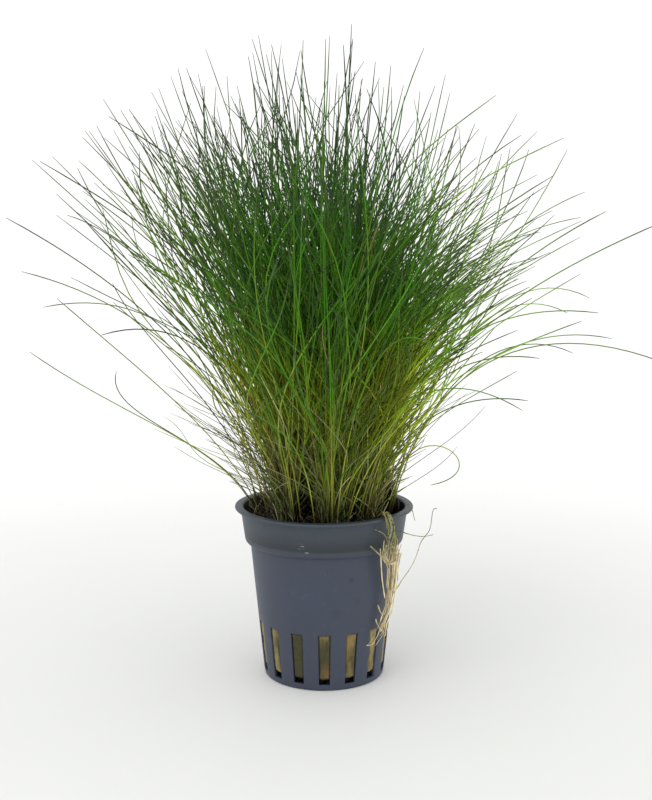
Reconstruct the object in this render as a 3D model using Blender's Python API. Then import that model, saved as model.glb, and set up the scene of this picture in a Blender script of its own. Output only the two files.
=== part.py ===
"""Dwarf hairgrass in a slotted net pot, built as separate solids in metres with +Z up.

The origin is on the pot's axis, at the underside of its floor. The front of the plant faces -Y.
"""
import math
import random

import bmesh
import bpy
from mathutils import Vector

MM = 0.001

# Net pot: radii are of the outer face, heights are above the underside of the floor.
POT_HEIGHT = 52.3 * MM
LIP_RADIUS = 27.0 * MM
LIP_HALF_THICKNESS = 0.5 * MM
COLLAR_TOP_RADIUS = 25.2 * MM
COLLAR_FOOT_RADIUS = 24.0 * MM
COLLAR_FOOT_Z = 42.6 * MM
BODY_TOP_RADIUS = 22.3 * MM
BODY_TOP_Z = 40.7 * MM
BASE_RADIUS = 18.25 * MM
BASE_EDGE_ROUND = 0.8 * MM
WALL = 0.8 * MM
FLOOR = 1.2 * MM
POT_SEGMENTS = 45

# Slots in the wall, and the radial drain slots in the floor.
SLOT_COUNT = 15
SLOT_TOP_Z = 17.4 * MM
SLOT_FOOT_Z = 1.95 * MM
SLOT_TOP_WIDTH = 3.7 * MM
SLOT_FOOT_WIDTH = 3.2 * MM
FIRST_SLOT_DEGREES = -89.6
DRAIN_COUNT = 5
DRAIN_INNER_RADIUS = 6.0 * MM
DRAIN_OUTER_RADIUS = 14.0 * MM
DRAIN_WIDTH = 2.6 * MM

# Rock-wool plug and the flap of it that stands above the rim.
GAP = 0.3 * MM
PLUG_TOP_Z = 48.0 * MM
PLUG_FOOT_Z = FLOOR + GAP
PLUG_FOOT_RADIUS = 15.2 * MM
PLUG_SHOULDER_Z = 4.2 * MM
PLUG_TOP_RADIUS = 22.2 * MM
PLUG_CLEARANCE = 0.45 * MM
PLUG_EDGE_ROUND = 1.2 * MM
PLUG_SEGMENTS = 28
FLAP_INNER_RADIUS = 20.5 * MM
FLAP_OUTER_RADIUS = 22.9 * MM
FLAP_FROM_DEGREES = 8.0
FLAP_TO_DEGREES = 46.0
FLAP_HEIGHT = 11.5 * MM
FLAP_END_SHARE = 0.35
FLAP_SHOULDER_SHARE = 0.7
FLAP_STEPS = 6

# The fan of stems. A stem is named by its place (u, v) in a unit disc that maps to the foot of
# the grass, and every stem leans away from the axis by an angle that grows with its place.
FOOT_RADIUS = 18.4 * MM
FOOT_Z = PLUG_TOP_Z + GAP
LEAN_SIDEWAYS = math.radians(37.0)
LEAN_FRONT_BACK = math.radians(35.0)
LEAN_GROWTH = 1.15
LEAN_AT_FOOT = 0.2
UPRIGHT_LENGTH = 130.0 * MM
LENGTH_LOST_PER_RADIAN = 28.0 * MM
PATH_STEPS = 40

# Clumps: one in the middle and a ring around it, each split into tapered locks. One lock in a
# few is a leader that stands out above the others.
MIDDLE_CLUMP_REACH = 0.40
MIDDLE_CELLS = 3
RING_CLUMPS = 5
RING_INNER_REACH = 0.47
RING_OUTER_REACH = 1.0
RING_START_DEGREES = -112.0
RING_MARGIN_DEGREES = 2.0
RING_CELLS_OUT = 3
RING_CELLS_ROUND = 4
SPLIT_AT = 0.14
LOCK_RINGS = (0.0, 0.16, 0.34, 0.53, 0.72, 0.88)
LOCK_FILL = 0.86
LOCK_HALF_WIDTH = 4.8 * MM
LOCK_TAPER_FROM = 0.56
LOCK_TIP_HALF_WIDTH = 0.7 * MM
LOCK_WANDER = 0.15
LOCK_LENGTH_SPREAD = 0.13
LEADER_EVERY = 8
LEADER_EXTRA = 0.115

# Outlying stems: base angle round the plug, tip (x, y, z) in millimetres, millimetres that the
# stem rises before it turns outward, millimetres that its last stretch climbs (less than 0 where
# it droops) and how long that stretch is, as a share of the reach from foot to tip.
STEM_RADIUS = 0.55 * MM
STEM_TIP_SHARE = 0.4
STEM_FOOT_RADIUS = 20.0 * MM
STEM_POINTS = 11
STEM_EARLY_LEAN = 0.12
LONG_STEMS = {
    "left": (
        (199, (-84.6, -12.0, 99.4), 24.0, 22.0, 0.45),
        (189, (-61.2, -4.0, 92.9), 24.0, 15.0, -0.12),
        (209, (-73.4, -24.0, 115.2), 24.0, 24.0, 0.45),
        (178, (-85.7, 10.0, 111.0), 58.0, -6.0, 0.45),
        (219, (-79.7, -36.0, 122.8), 44.0, 8.0, 0.45),
        (167, (-66.2, 20.0, 118.1), 32.0, 20.0, 0.20),
        (229, (-79.5, -50.0, 136.5), 42.0, 18.0, 0.45),
        (157, (-82.9, 34.0, 139.4), 46.0, 8.0, 0.45),
        (147, (-81.2, 46.0, 157.5), 48.0, 24.0, 0.45),
    ),
    "right": (
        (-23, (97.7, -26.0, 95.9), 52.0, -16.0, 0.45),
        (-12, (84.1, -6.0, 102.7), 42.0, -6.0, 0.45),
        (-1, (81.4, 12.0, 113.7), 46.0, -14.0, 0.45),
        (-55, (69.5, -50.0, 112.7), 52.0, -3.0, 0.45),
        (51, (84.7, 38.0, 146.9), 54.0, 12.0, 0.45),
        (64, (89.0, 62.0, 139.4), 66.0, 6.0, 0.45),
        (-64, (82.1, -60.0, 135.3), 48.0, 16.0, 0.45),
        (-72, (50.8, -50.0, 87.8), 40.0, -12.0, 0.45),
        (4, (32.5, 3.0, 57.2), 40.0, -4.0, -2.0),
    ),
    "front": (
        (-80, (26.0, -84.0, 106.0), 42.0, -10.0, 0.45),
        (-88, (6.0, -86.0, 130.0), 46.0, 14.0, 0.45),
        (-97, (-18.0, -88.0, 94.0), 30.0, 10.0, 0.45),
        (-108, (-40.0, -78.0, 128.0), 48.0, 12.0, 0.45),
        (-120, (-54.0, -62.0, 108.0), 44.0, -6.0, 0.45),
    ),
    "back": (
        (75, (34.0, 80.0, 116.0), 46.0, -8.0, 0.45),
        (85, (12.0, 88.0, 128.0), 50.0, 14.0, 0.45),
        (96, (-10.0, 84.0, 98.0), 32.0, 12.0, 0.45),
        (107, (-32.0, 80.0, 132.0), 52.0, 12.0, 0.45),
        (119, (-48.0, 70.0, 104.0), 40.0, -10.0, 0.45),
        (133, (-62.0, 58.0, 122.0), 46.0, 14.0, 0.45),
    ),
}

# Dry runners that hook over the rim: angle round the pot, swing of the free end along the rim,
# height of the free end and how far the strand stands off the lip.
RUNNER_RADIUS = 0.45 * MM
RUNNER_TIP_SHARE = 0.55
RUNNER_FOOT_RADIUS = 21.6 * MM
RUNNER_CREST = 0.6 * MM
RUNNER_BELOW_LIP = 2.2 * MM
RUNNER_HANG = 8.0 * MM
RUNNER_OFF_BODY = 2.2 * MM
RUNNER_POINTS = 18
DRY_RUNNERS = (
    (-44.5, -9.0, 14.5 * MM, 0.4 * MM),
    (-40.5, -5.0, 20.0 * MM, 0.5 * MM),
    (-36.5, -1.0, 16.5 * MM, 0.4 * MM),
    (-32.5, 2.5, 29.0 * MM, 0.8 * MM),
    (-49.5, -8.0, 35.0 * MM, 0.5 * MM),
)

COLOURS = {
    "pot": ((0.073, 0.087, 0.115), 0.45),
    "wool": ((0.16, 0.125, 0.05), 0.95),
    "dark_wool": ((0.03, 0.025, 0.016), 0.95),
    "grass": ((0.07, 0.15, 0.02), 0.6),
    "stem": ((0.11, 0.19, 0.03), 0.6),
    "straw": ((0.58, 0.48, 0.26), 0.75),
}


def clear_scene():
    """Remove every object that the file starts with."""
    for thing in list(bpy.data.objects):
        bpy.data.objects.remove(thing)


def material(name, kind):
    """A plain Principled material in one of the plant's or the pot's colours."""
    colour, roughness = COLOURS[kind]
    mat = bpy.data.materials.new(name)
    mat.use_nodes = True
    surface = mat.node_tree.nodes["Principled BSDF"]
    surface.inputs["Base Color"].default_value = (*colour, 1.0)
    surface.inputs["Roughness"].default_value = roughness
    surface.inputs["Metallic"].default_value = 0.0
    return mat


def add_object(name, data, kind):
    """Put mesh or curve data in the scene as one named piece with its own material."""
    data.materials.append(material(name + "_material", kind))
    thing = bpy.data.objects.new(name, data)
    bpy.context.scene.collection.objects.link(thing)
    return thing


def add_mesh(name, bm, kind, smooth=False):
    """Turn a bmesh into one named piece, its faces pointing out."""
    bmesh.ops.recalc_face_normals(bm, faces=bm.faces)
    mesh = bpy.data.meshes.new(name)
    bm.to_mesh(mesh)
    bm.free()
    if smooth:
        mesh.shade_smooth()
        mesh.set_sharp_from_angle(angle=math.radians(35.0))
    return add_object(name, mesh, kind)


def polar(radius, angle, z):
    """The point at a radius and an angle round the pot's axis."""
    return Vector((radius * math.cos(angle), radius * math.sin(angle), z))


def arc(centre, radius, start, end, steps):
    """Profile points on an arc, angles in degrees from the outward direction."""
    points = []
    for i in range(steps + 1):
        angle = math.radians(start + (end - start) * i / steps)
        points.append((centre[0] + radius * math.cos(angle), centre[1] + radius * math.sin(angle)))
    return points


def turned(profile, segments):
    """Spin a profile of (radius, height) points that starts and ends on the axis."""
    bm = bmesh.new()
    verts = [bm.verts.new((r, 0.0, z)) for r, z in profile]
    edges = [bm.edges.new(pair) for pair in zip(verts, verts[1:])]
    bmesh.ops.spin(
        bm,
        geom=verts + edges,
        cent=(0.0, 0.0, 0.0),
        axis=(0.0, 0.0, 1.0),
        angle=2.0 * math.pi,
        steps=segments,
    )
    bmesh.ops.remove_doubles(bm, verts=bm.verts, dist=0.00002)
    return bm


def body_radius(z):
    """Outer radius of the tapered lower body at a height."""
    return BASE_RADIUS + (BODY_TOP_RADIUS - BASE_RADIUS) * z / BODY_TOP_Z


def pot_profile():
    """Section of the pot: up the outside, round the lip and down the inside."""
    lip = (LIP_RADIUS - LIP_HALF_THICKNESS, POT_HEIGHT - LIP_HALF_THICKNESS)
    inner_top = COLLAR_TOP_RADIUS - WALL
    outside = [(0.0, 0.0)]
    outside += arc((BASE_RADIUS - BASE_EDGE_ROUND, BASE_EDGE_ROUND), BASE_EDGE_ROUND, -90, 0, 2)
    outside += [(BODY_TOP_RADIUS, BODY_TOP_Z)]
    shoulder_round = COLLAR_FOOT_RADIUS - BODY_TOP_RADIUS
    outside += arc((BODY_TOP_RADIUS, COLLAR_FOOT_Z), shoulder_round, -70, 0, 2)
    outside += [(COLLAR_TOP_RADIUS, POT_HEIGHT - 2.0 * LIP_HALF_THICKNESS)]
    outside += arc(lip, LIP_HALF_THICKNESS, -90, 90, 4)
    inside = arc((inner_top + WALL, POT_HEIGHT - WALL), WALL, 90, 180, 2)
    inside += [(COLLAR_FOOT_RADIUS - WALL, COLLAR_FOOT_Z + WALL)]
    inside += [(BODY_TOP_RADIUS - WALL, BODY_TOP_Z)]
    inside += [(body_radius(FLOOR) - WALL, FLOOR), (0.0, FLOOR)]
    return outside + inside


def add_wedge(bm, angle, inner, outer, z_low, z_high, width_low, width_high):
    """A radial block whose width may change with height, for cutting a slot."""
    corners = []
    across = Vector((-math.sin(angle), math.cos(angle), 0.0))
    for z, width in ((z_low, width_low), (z_high, width_high)):
        for radius in (inner, outer):
            for side in (-0.5, 0.5):
                corners.append(bm.verts.new(polar(radius, angle, z) + across * side * width))
    for ring in ((0, 1, 3, 2), (4, 6, 7, 5), (0, 4, 5, 1), (2, 3, 7, 6), (0, 2, 6, 4), (1, 5, 7, 3)):
        bm.faces.new([corners[i] for i in ring])


def slot_cutter():
    """One hidden mesh with a block for every wall slot and every drain slot."""
    bm = bmesh.new()
    for i in range(SLOT_COUNT):
        angle = math.radians(FIRST_SLOT_DEGREES + 360.0 * i / SLOT_COUNT)
        inner = BASE_RADIUS - 3.0 * WALL
        outer = body_radius(SLOT_TOP_Z) + WALL
        add_wedge(bm, angle, inner, outer, SLOT_FOOT_Z, SLOT_TOP_Z, SLOT_FOOT_WIDTH, SLOT_TOP_WIDTH)
    for i in range(DRAIN_COUNT):
        angle = math.radians(FIRST_SLOT_DEGREES + 360.0 * i / DRAIN_COUNT)
        width = DRAIN_WIDTH
        add_wedge(bm, angle, DRAIN_INNER_RADIUS, DRAIN_OUTER_RADIUS, -FLOOR, 1.5 * FLOOR, width, width)
    cutter = add_mesh("slot_cutter", bm, "pot")
    cutter.hide_render = True
    cutter.display_type = "WIRE"
    return cutter


def build_pot():
    """The slotted net pot."""
    pot = add_mesh("net_pot", turned(pot_profile(), POT_SEGMENTS), "pot", smooth=True)
    cut = pot.modifiers.new("slots", "BOOLEAN")
    cut.operation = "DIFFERENCE"
    cut.solver = "EXACT"
    cut.object = slot_cutter()


def build_plug():
    """The wool plug: it follows the pot's inside with a small clearance."""
    shoulder = (body_radius(PLUG_SHOULDER_Z) - WALL - PLUG_CLEARANCE, PLUG_SHOULDER_Z)
    neck = (body_radius(BODY_TOP_Z) - WALL - PLUG_CLEARANCE, BODY_TOP_Z - WALL)
    edge = (PLUG_TOP_RADIUS - PLUG_EDGE_ROUND, PLUG_TOP_Z - PLUG_EDGE_ROUND)
    profile = [(0.0, PLUG_FOOT_Z), (PLUG_FOOT_RADIUS, PLUG_FOOT_Z), shoulder, neck]
    profile += arc(edge, PLUG_EDGE_ROUND, 0, 90, 2)
    profile += [(0.0, PLUG_TOP_Z)]
    add_mesh("rock_wool_plug", turned(profile, PLUG_SEGMENTS), "wool", smooth=True)


def build_flap():
    """The torn flap of wool that stands up inside the rim at the back right."""
    bm = bmesh.new()
    sections = []
    middle = 0.5 * (FLAP_INNER_RADIUS + FLAP_OUTER_RADIUS)
    for i in range(FLAP_STEPS + 1):
        share = i / FLAP_STEPS
        angle = math.radians(FLAP_FROM_DEGREES + (FLAP_TO_DEGREES - FLAP_FROM_DEGREES) * share)
        height = FLAP_HEIGHT * (FLAP_END_SHARE + (1.0 - FLAP_END_SHARE) * math.sin(math.pi * share))
        outline = (
            (FLAP_INNER_RADIUS, 0.0),
            (FLAP_OUTER_RADIUS, 0.0),
            (FLAP_OUTER_RADIUS, FLAP_SHOULDER_SHARE * height),
            (middle, height),
            (FLAP_INNER_RADIUS, FLAP_SHOULDER_SHARE * height),
        )
        sections.append([bm.verts.new(polar(r, angle, FOOT_Z + z)) for r, z in outline])
    count = len(sections[0])
    for near, far in zip(sections, sections[1:]):
        for k in range(count):
            bm.faces.new((near[k], near[(k + 1) % count], far[(k + 1) % count], far[k]))
    bm.faces.new(sections[0])
    bm.faces.new(list(reversed(sections[-1])))
    add_mesh("raised_wool_flap", bm, "dark_wool")


def stem_lean(u, v):
    """Angle from the vertical that the tip of the stem at (u, v) reaches."""
    reach = math.hypot(u, v)
    if reach < 1e-9:
        return 0.0
    sideways = (u / reach) ** 2
    widest = LEAN_FRONT_BACK + (LEAN_SIDEWAYS - LEAN_FRONT_BACK) * sideways
    return widest * reach ** LEAN_GROWTH


def stem_length(u, v):
    """Length of the stem at (u, v): the ones that lean most are shorter."""
    return UPRIGHT_LENGTH - LENGTH_LOST_PER_RADIAN * stem_lean(u, v)


def stem_point(u, v, share):
    """Point on the stem at (u, v), a share of its length from its foot.

    The stem stands nearly upright at its foot, turns outward early and then runs almost straight.
    """
    reach = math.hypot(u, v)
    out = Vector((u / reach, v / reach, 0.0)) if reach > 1e-9 else Vector((1.0, 0.0, 0.0))
    up = Vector((0.0, 0.0, 1.0))
    lean = stem_lean(u, v)
    point = Vector((u * FOOT_RADIUS, v * FOOT_RADIUS, FOOT_Z))
    step = stem_length(u, v) * share / PATH_STEPS
    for i in range(PATH_STEPS):
        along = share * (i + 0.5) / PATH_STEPS
        angle = lean * (LEAN_AT_FOOT + (1.0 - LEAN_AT_FOOT) * (1.0 - (1.0 - along) ** 2))
        point += (out * math.sin(angle) + up * math.cos(angle)) * step
    return point


def lock_half_width(along):
    """Half width of a lock at a share of the way from the split to its tip."""
    if along <= LOCK_TAPER_FROM:
        return LOCK_HALF_WIDTH
    fade = (along - LOCK_TAPER_FROM) / (1.0 - LOCK_TAPER_FROM)
    return LOCK_HALF_WIDTH + (LOCK_TIP_HALF_WIDTH - LOCK_HALF_WIDTH) * fade


def add_lock(bm, mouth, cell, end, rng):
    """Grow one tapered lock out of a cell of the clump's top, to a share of the stem's length."""
    mean_u = sum(u for u, v in cell) / len(cell)
    mean_v = sum(v for u, v in cell) / len(cell)
    size = max(math.hypot(u - mean_u, v - mean_v) for u, v in cell)
    drift_u = rng.uniform(-1.0, 1.0) * LOCK_WANDER * size
    drift_v = rng.uniform(-1.0, 1.0) * LOCK_WANDER * size
    count = len(cell)
    previous = mouth
    for along in LOCK_RINGS:
        share = SPLIT_AT + (end - SPLIT_AT) * along
        centre = stem_point(mean_u + drift_u * along, mean_v + drift_v * along, share)
        ring = []
        for corner_u, corner_v in cell:
            spoke = stem_point(corner_u, corner_v, share) - centre
            width = min(spoke.length * LOCK_FILL, lock_half_width(along))
            ring.append(bm.verts.new(centre + spoke.normalized() * width))
        for k in range(count):
            n = (k + 1) % count
            bm.faces.new((previous[k], previous[n], ring[n], ring[k]))
        previous = ring
    tip = bm.verts.new(stem_point(mean_u + drift_u, mean_v + drift_v, end))
    for k in range(count):
        bm.faces.new((previous[k], previous[(k + 1) % count], tip))


def build_clump(name, grid, rng):
    """One plantlet: a fused foot below, split into a lock for every cell of its grid."""
    bm = bmesh.new()
    last_row = len(grid) - 1
    last_column = len(grid[0]) - 1
    floor = [[bm.verts.new(stem_point(u, v, 0.0)) for u, v in row] for row in grid]
    top = [[bm.verts.new(stem_point(u, v, SPLIT_AT)) for u, v in row] for row in grid]
    edge = [(0, j) for j in range(last_column)]
    edge += [(i, last_column) for i in range(last_row)]
    edge += [(last_row, j) for j in range(last_column, 0, -1)]
    edge += [(i, 0) for i in range(last_row, 0, -1)]
    for (i, j), (m, n) in zip(edge, edge[1:] + edge[:1]):
        bm.faces.new((floor[i][j], floor[m][n], top[m][n], top[i][j]))
    for i in range(last_row):
        for j in range(last_column):
            around = ((i, j), (i, j + 1), (i + 1, j + 1), (i + 1, j))
            bm.faces.new([floor[m][n] for m, n in reversed(around)])
            leads = (i * last_column + j) % LEADER_EVERY == LEADER_EVERY // 2
            end = 1.0 + LEADER_EXTRA if leads else 1.0 - rng.uniform(0.0, LOCK_LENGTH_SPREAD)
            add_lock(bm, [top[m][n] for m, n in around], [grid[m][n] for m, n in around], end, rng)
    add_mesh(name, bm, "grass")


def middle_grid():
    """Cells of the middle clump: a square grid drawn out to a round outline."""
    grid = []
    for i in range(MIDDLE_CELLS + 1):
        row = []
        for j in range(MIDDLE_CELLS + 1):
            a = 2.0 * i / MIDDLE_CELLS - 1.0
            b = 2.0 * j / MIDDLE_CELLS - 1.0
            u = a * math.sqrt(1.0 - 0.5 * b * b) * MIDDLE_CLUMP_REACH
            v = b * math.sqrt(1.0 - 0.5 * a * a) * MIDDLE_CLUMP_REACH
            row.append((u, v))
        grid.append(row)
    return grid


def ring_grid(index):
    """Cells of one clump in the ring: rows outward, columns round the plug."""
    span = 360.0 / RING_CLUMPS
    start = RING_START_DEGREES + span * index + RING_MARGIN_DEGREES
    end = start + span - 2.0 * RING_MARGIN_DEGREES
    grid = []
    for i in range(RING_CELLS_OUT + 1):
        reach = RING_INNER_REACH + (RING_OUTER_REACH - RING_INNER_REACH) * i / RING_CELLS_OUT
        row = []
        for j in range(RING_CELLS_ROUND + 1):
            angle = math.radians(start + (end - start) * j / RING_CELLS_ROUND)
            row.append((reach * math.cos(angle), reach * math.sin(angle)))
        grid.append(row)
    return grid


def build_clumps():
    """The plantlets that make up the thick of the grass."""
    rng = random.Random(5)
    build_clump("clump_middle", middle_grid(), rng)
    for i in range(RING_CLUMPS):
        build_clump(f"clump_ring_{i + 1}", ring_grid(i), rng)


def bezier(points, t):
    """Point on a cubic curve given by its two ends and two handles."""
    s = 1.0 - t
    a, b, c, d = points
    return a * s ** 3 + b * 3.0 * s * s * t + c * 3.0 * s * t * t + d * t ** 3


def add_strand(name, points, radius, tip_share, kind):
    """A thin strand along the points, tapering to its tip, with closed ends."""
    curve = bpy.data.curves.new(name, "CURVE")
    curve.dimensions = "3D"
    curve.bevel_depth = radius
    curve.bevel_resolution = 0
    curve.use_fill_caps = True
    spline = curve.splines.new("POLY")
    spline.points.add(len(points) - 1)
    for i, point in enumerate(points):
        spline.points[i].co = (*point, 1.0)
        spline.points[i].radius = 1.0 + (tip_share - 1.0) * i / (len(points) - 1)
    add_object(name, curve, kind)


def long_stem_path(base_degrees, tip_mm, rise_mm, climb_mm, pull):
    """Ends and handles of an outlying stem: up from the plug, then out to its tip."""
    base = polar(STEM_FOOT_RADIUS, math.radians(base_degrees), FOOT_Z + STEM_RADIUS)
    tip = Vector(tip_mm) * MM
    reach = Vector((tip.x - base.x, tip.y - base.y, 0.0))
    first = base + reach * STEM_EARLY_LEAN + Vector((0.0, 0.0, rise_mm * MM))
    last = tip - reach * pull - Vector((0.0, 0.0, climb_mm * MM))
    return base, first, last, tip


def build_long_stems():
    """The separate stems that lean far out of the clumps."""
    for side, stems in LONG_STEMS.items():
        for i, shape in enumerate(stems):
            handles = long_stem_path(*shape)
            points = [bezier(handles, k / (STEM_POINTS - 1)) for k in range(STEM_POINTS)]
            add_strand(f"long_stem_{side}_{i + 1}", points, STEM_RADIUS, STEM_TIP_SHARE, "stem")


def runner_points(degrees, swing, end_z, stand_off):
    """A dry runner: up from the plug, over the lip and down beside the pot."""
    away = RUNNER_RADIUS + stand_off
    over = POT_HEIGHT + away
    hang_z = POT_HEIGHT - RUNNER_HANG
    end_radius = body_radius(end_z) + RUNNER_OFF_BODY
    stops = (
        (RUNNER_FOOT_RADIUS, FOOT_Z + RUNNER_RADIUS, 0.0),
        (RUNNER_FOOT_RADIUS, over - RUNNER_CREST, 0.02),
        (COLLAR_TOP_RADIUS, over + RUNNER_CREST, 0.04),
        (LIP_RADIUS, over, 0.08),
        (LIP_RADIUS + away, POT_HEIGHT - RUNNER_BELOW_LIP, 0.15),
        (LIP_RADIUS + away, hang_z, 0.3),
        (0.5 * (LIP_RADIUS + end_radius), 0.5 * (hang_z + end_z), 0.6),
        (end_radius, end_z, 1.0),
    )
    return smooth_line([polar(r, math.radians(degrees + swing * turn), z) for r, z, turn in stops])


def smooth_line(stops):
    """Evenly counted points on a smooth curve through the stops."""
    padded = [stops[0] * 2.0 - stops[1]] + stops + [stops[-1] * 2.0 - stops[-2]]
    points = []
    for k in range(RUNNER_POINTS):
        place = k / (RUNNER_POINTS - 1) * (len(stops) - 1)
        i = min(int(place), len(stops) - 2)
        t = place - i
        a, b, c, d = padded[i:i + 4]
        bend = (a * 2.0 - b * 5.0 + c * 4.0 - d) * t * t
        twist = (b * 3.0 - a - c * 3.0 + d) * t ** 3
        points.append((b * 2.0 + (c - a) * t + bend + twist) * 0.5)
    return points


def build_runners():
    """The dry runners over the rim at the front right."""
    for i, (degrees, swing, end_z, stand_off) in enumerate(DRY_RUNNERS):
        points = runner_points(degrees, swing, end_z, stand_off)
        add_strand(f"dry_runner_{i + 1}", points, RUNNER_RADIUS, RUNNER_TIP_SHARE, "straw")


def main():
    """Build every piece."""
    clear_scene()
    build_pot()
    build_plug()
    build_flap()
    build_clumps()
    build_long_stems()
    build_runners()


main()
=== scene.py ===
"""Dwarf hairgrass in its net pot: stems, roots, wool and pot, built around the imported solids."""

import math

import bmesh
import bpy
import numpy as np
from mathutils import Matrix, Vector, noise


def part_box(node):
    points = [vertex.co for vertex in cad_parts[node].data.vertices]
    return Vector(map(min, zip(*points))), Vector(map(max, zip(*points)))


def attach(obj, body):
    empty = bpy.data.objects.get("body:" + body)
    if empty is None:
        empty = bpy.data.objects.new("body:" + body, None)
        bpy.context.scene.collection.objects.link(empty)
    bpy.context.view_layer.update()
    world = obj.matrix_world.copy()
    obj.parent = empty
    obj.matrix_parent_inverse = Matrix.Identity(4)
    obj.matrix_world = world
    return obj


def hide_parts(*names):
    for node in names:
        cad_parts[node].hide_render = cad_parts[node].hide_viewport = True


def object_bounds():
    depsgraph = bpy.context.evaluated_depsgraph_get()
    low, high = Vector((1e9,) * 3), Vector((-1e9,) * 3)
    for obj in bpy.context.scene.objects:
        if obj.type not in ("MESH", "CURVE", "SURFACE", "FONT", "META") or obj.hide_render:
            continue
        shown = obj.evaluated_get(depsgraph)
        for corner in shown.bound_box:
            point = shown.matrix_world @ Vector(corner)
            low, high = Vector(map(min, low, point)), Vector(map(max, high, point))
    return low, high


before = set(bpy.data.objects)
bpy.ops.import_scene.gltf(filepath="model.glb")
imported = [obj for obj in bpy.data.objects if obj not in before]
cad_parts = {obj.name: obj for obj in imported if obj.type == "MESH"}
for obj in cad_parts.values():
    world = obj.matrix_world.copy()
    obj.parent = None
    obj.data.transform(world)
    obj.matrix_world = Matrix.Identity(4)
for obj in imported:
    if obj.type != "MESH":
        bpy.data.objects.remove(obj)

bl_info = {
    "name": "Dwarf hairgrass in a net pot",
    "version": (1, 0, 0),
    "blender": (4, 5, 0),
    "location": "View3D > Sidebar > Hairgrass",
    "description": "Builds the stems, the wool plug, the net pot and a plain studio",
    "category": "Add Mesh",
}

MM = 0.001
BODY = "root"

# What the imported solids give.
CAD_LOW, CAD_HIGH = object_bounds()
_, POT_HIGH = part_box("net_pot")
PLUG_LOW, PLUG_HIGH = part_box("rock_wool_plug")
FLAP_LOW, FLAP_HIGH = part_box("raised_wool_flap")
LIP_RADIUS = POT_HIGH.x
POT_HEIGHT = POT_HIGH.z
PLUG_TOP = PLUG_HIGH.z

# Net pot: sizes in metres, radii of the outer face, as the solid has them.
LIP_HALF = 0.5 * MM
COLLAR_TOP_RADIUS = 25.2 * MM
COLLAR_FOOT_RADIUS = 24.0 * MM
COLLAR_FOOT_Z = 42.6 * MM
BODY_TOP_RADIUS = 22.3 * MM
BODY_TOP_Z = 40.7 * MM
BASE_RADIUS = 18.25 * MM
BASE_ROUND = 0.8 * MM
WALL = 0.8 * MM
FLOOR = 1.2 * MM
SLOT_COUNT = 15
SLOT_TOP_Z = 17.4 * MM
SLOT_FOOT_Z = 1.95 * MM
SLOT_TOP_WIDTH = 3.7 * MM
SLOT_FOOT_WIDTH = 3.2 * MM
SLOT_ROWS = 8
FIRST_SLOT = math.radians(-89.6)
DRAIN_EVERY = 3
DRAIN_INNER = 6.0 * MM
DRAIN_OUTER = 14.0 * MM
DRAIN_WIDTH = 2.6 * MM
PLUG_FOOT_RADIUS = 15.2 * MM
PLUG_SHOULDER_Z = 4.2 * MM

# Torn flap of wool that stands up inside the rim.
FLAP_INNER_RADIUS = 20.4 * MM
FLAP_OUTER_RADIUS = 22.9 * MM
FLAP_FROM = math.radians(8.0)
FLAP_TO = math.radians(46.0)
FLAP_END_SHARE = 0.35

# The foot of the grass, split into clumps as the solids are.
FOOT_RADIUS = 16.7 * MM
FOOT_SHIFT = 2.0 * MM
FOOT_Z = PLUG_TOP - 0.4 * MM
RIM_CLEAR_RADIUS = COLLAR_TOP_RADIUS - WALL - 0.4 * MM
MIDDLE_REACH = 0.435
RING_CLUMPS = 5
RING_START = math.radians(-112.0)
# Centres of the plantlets that the stems rise from, in millimetres.
PLANTLETS = (
    (-11.4, -8.8), (3.4, -12.5), (13.8, -9.6), (-12.8, 3.4), (14.0, 4.4), (-10.0, 12.5), (3.0, 14.0),
    (11.0, 13.4), (-2.6, -0.6), (6.4, 1.0),
)
WIDEST_LEAN = math.radians(68.0)
# Share of a stem's length over which its sway grows, and how far stray stems lean to the right.
SWAY_RISE = 0.3
STRAY_RIGHT = 0.45

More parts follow.
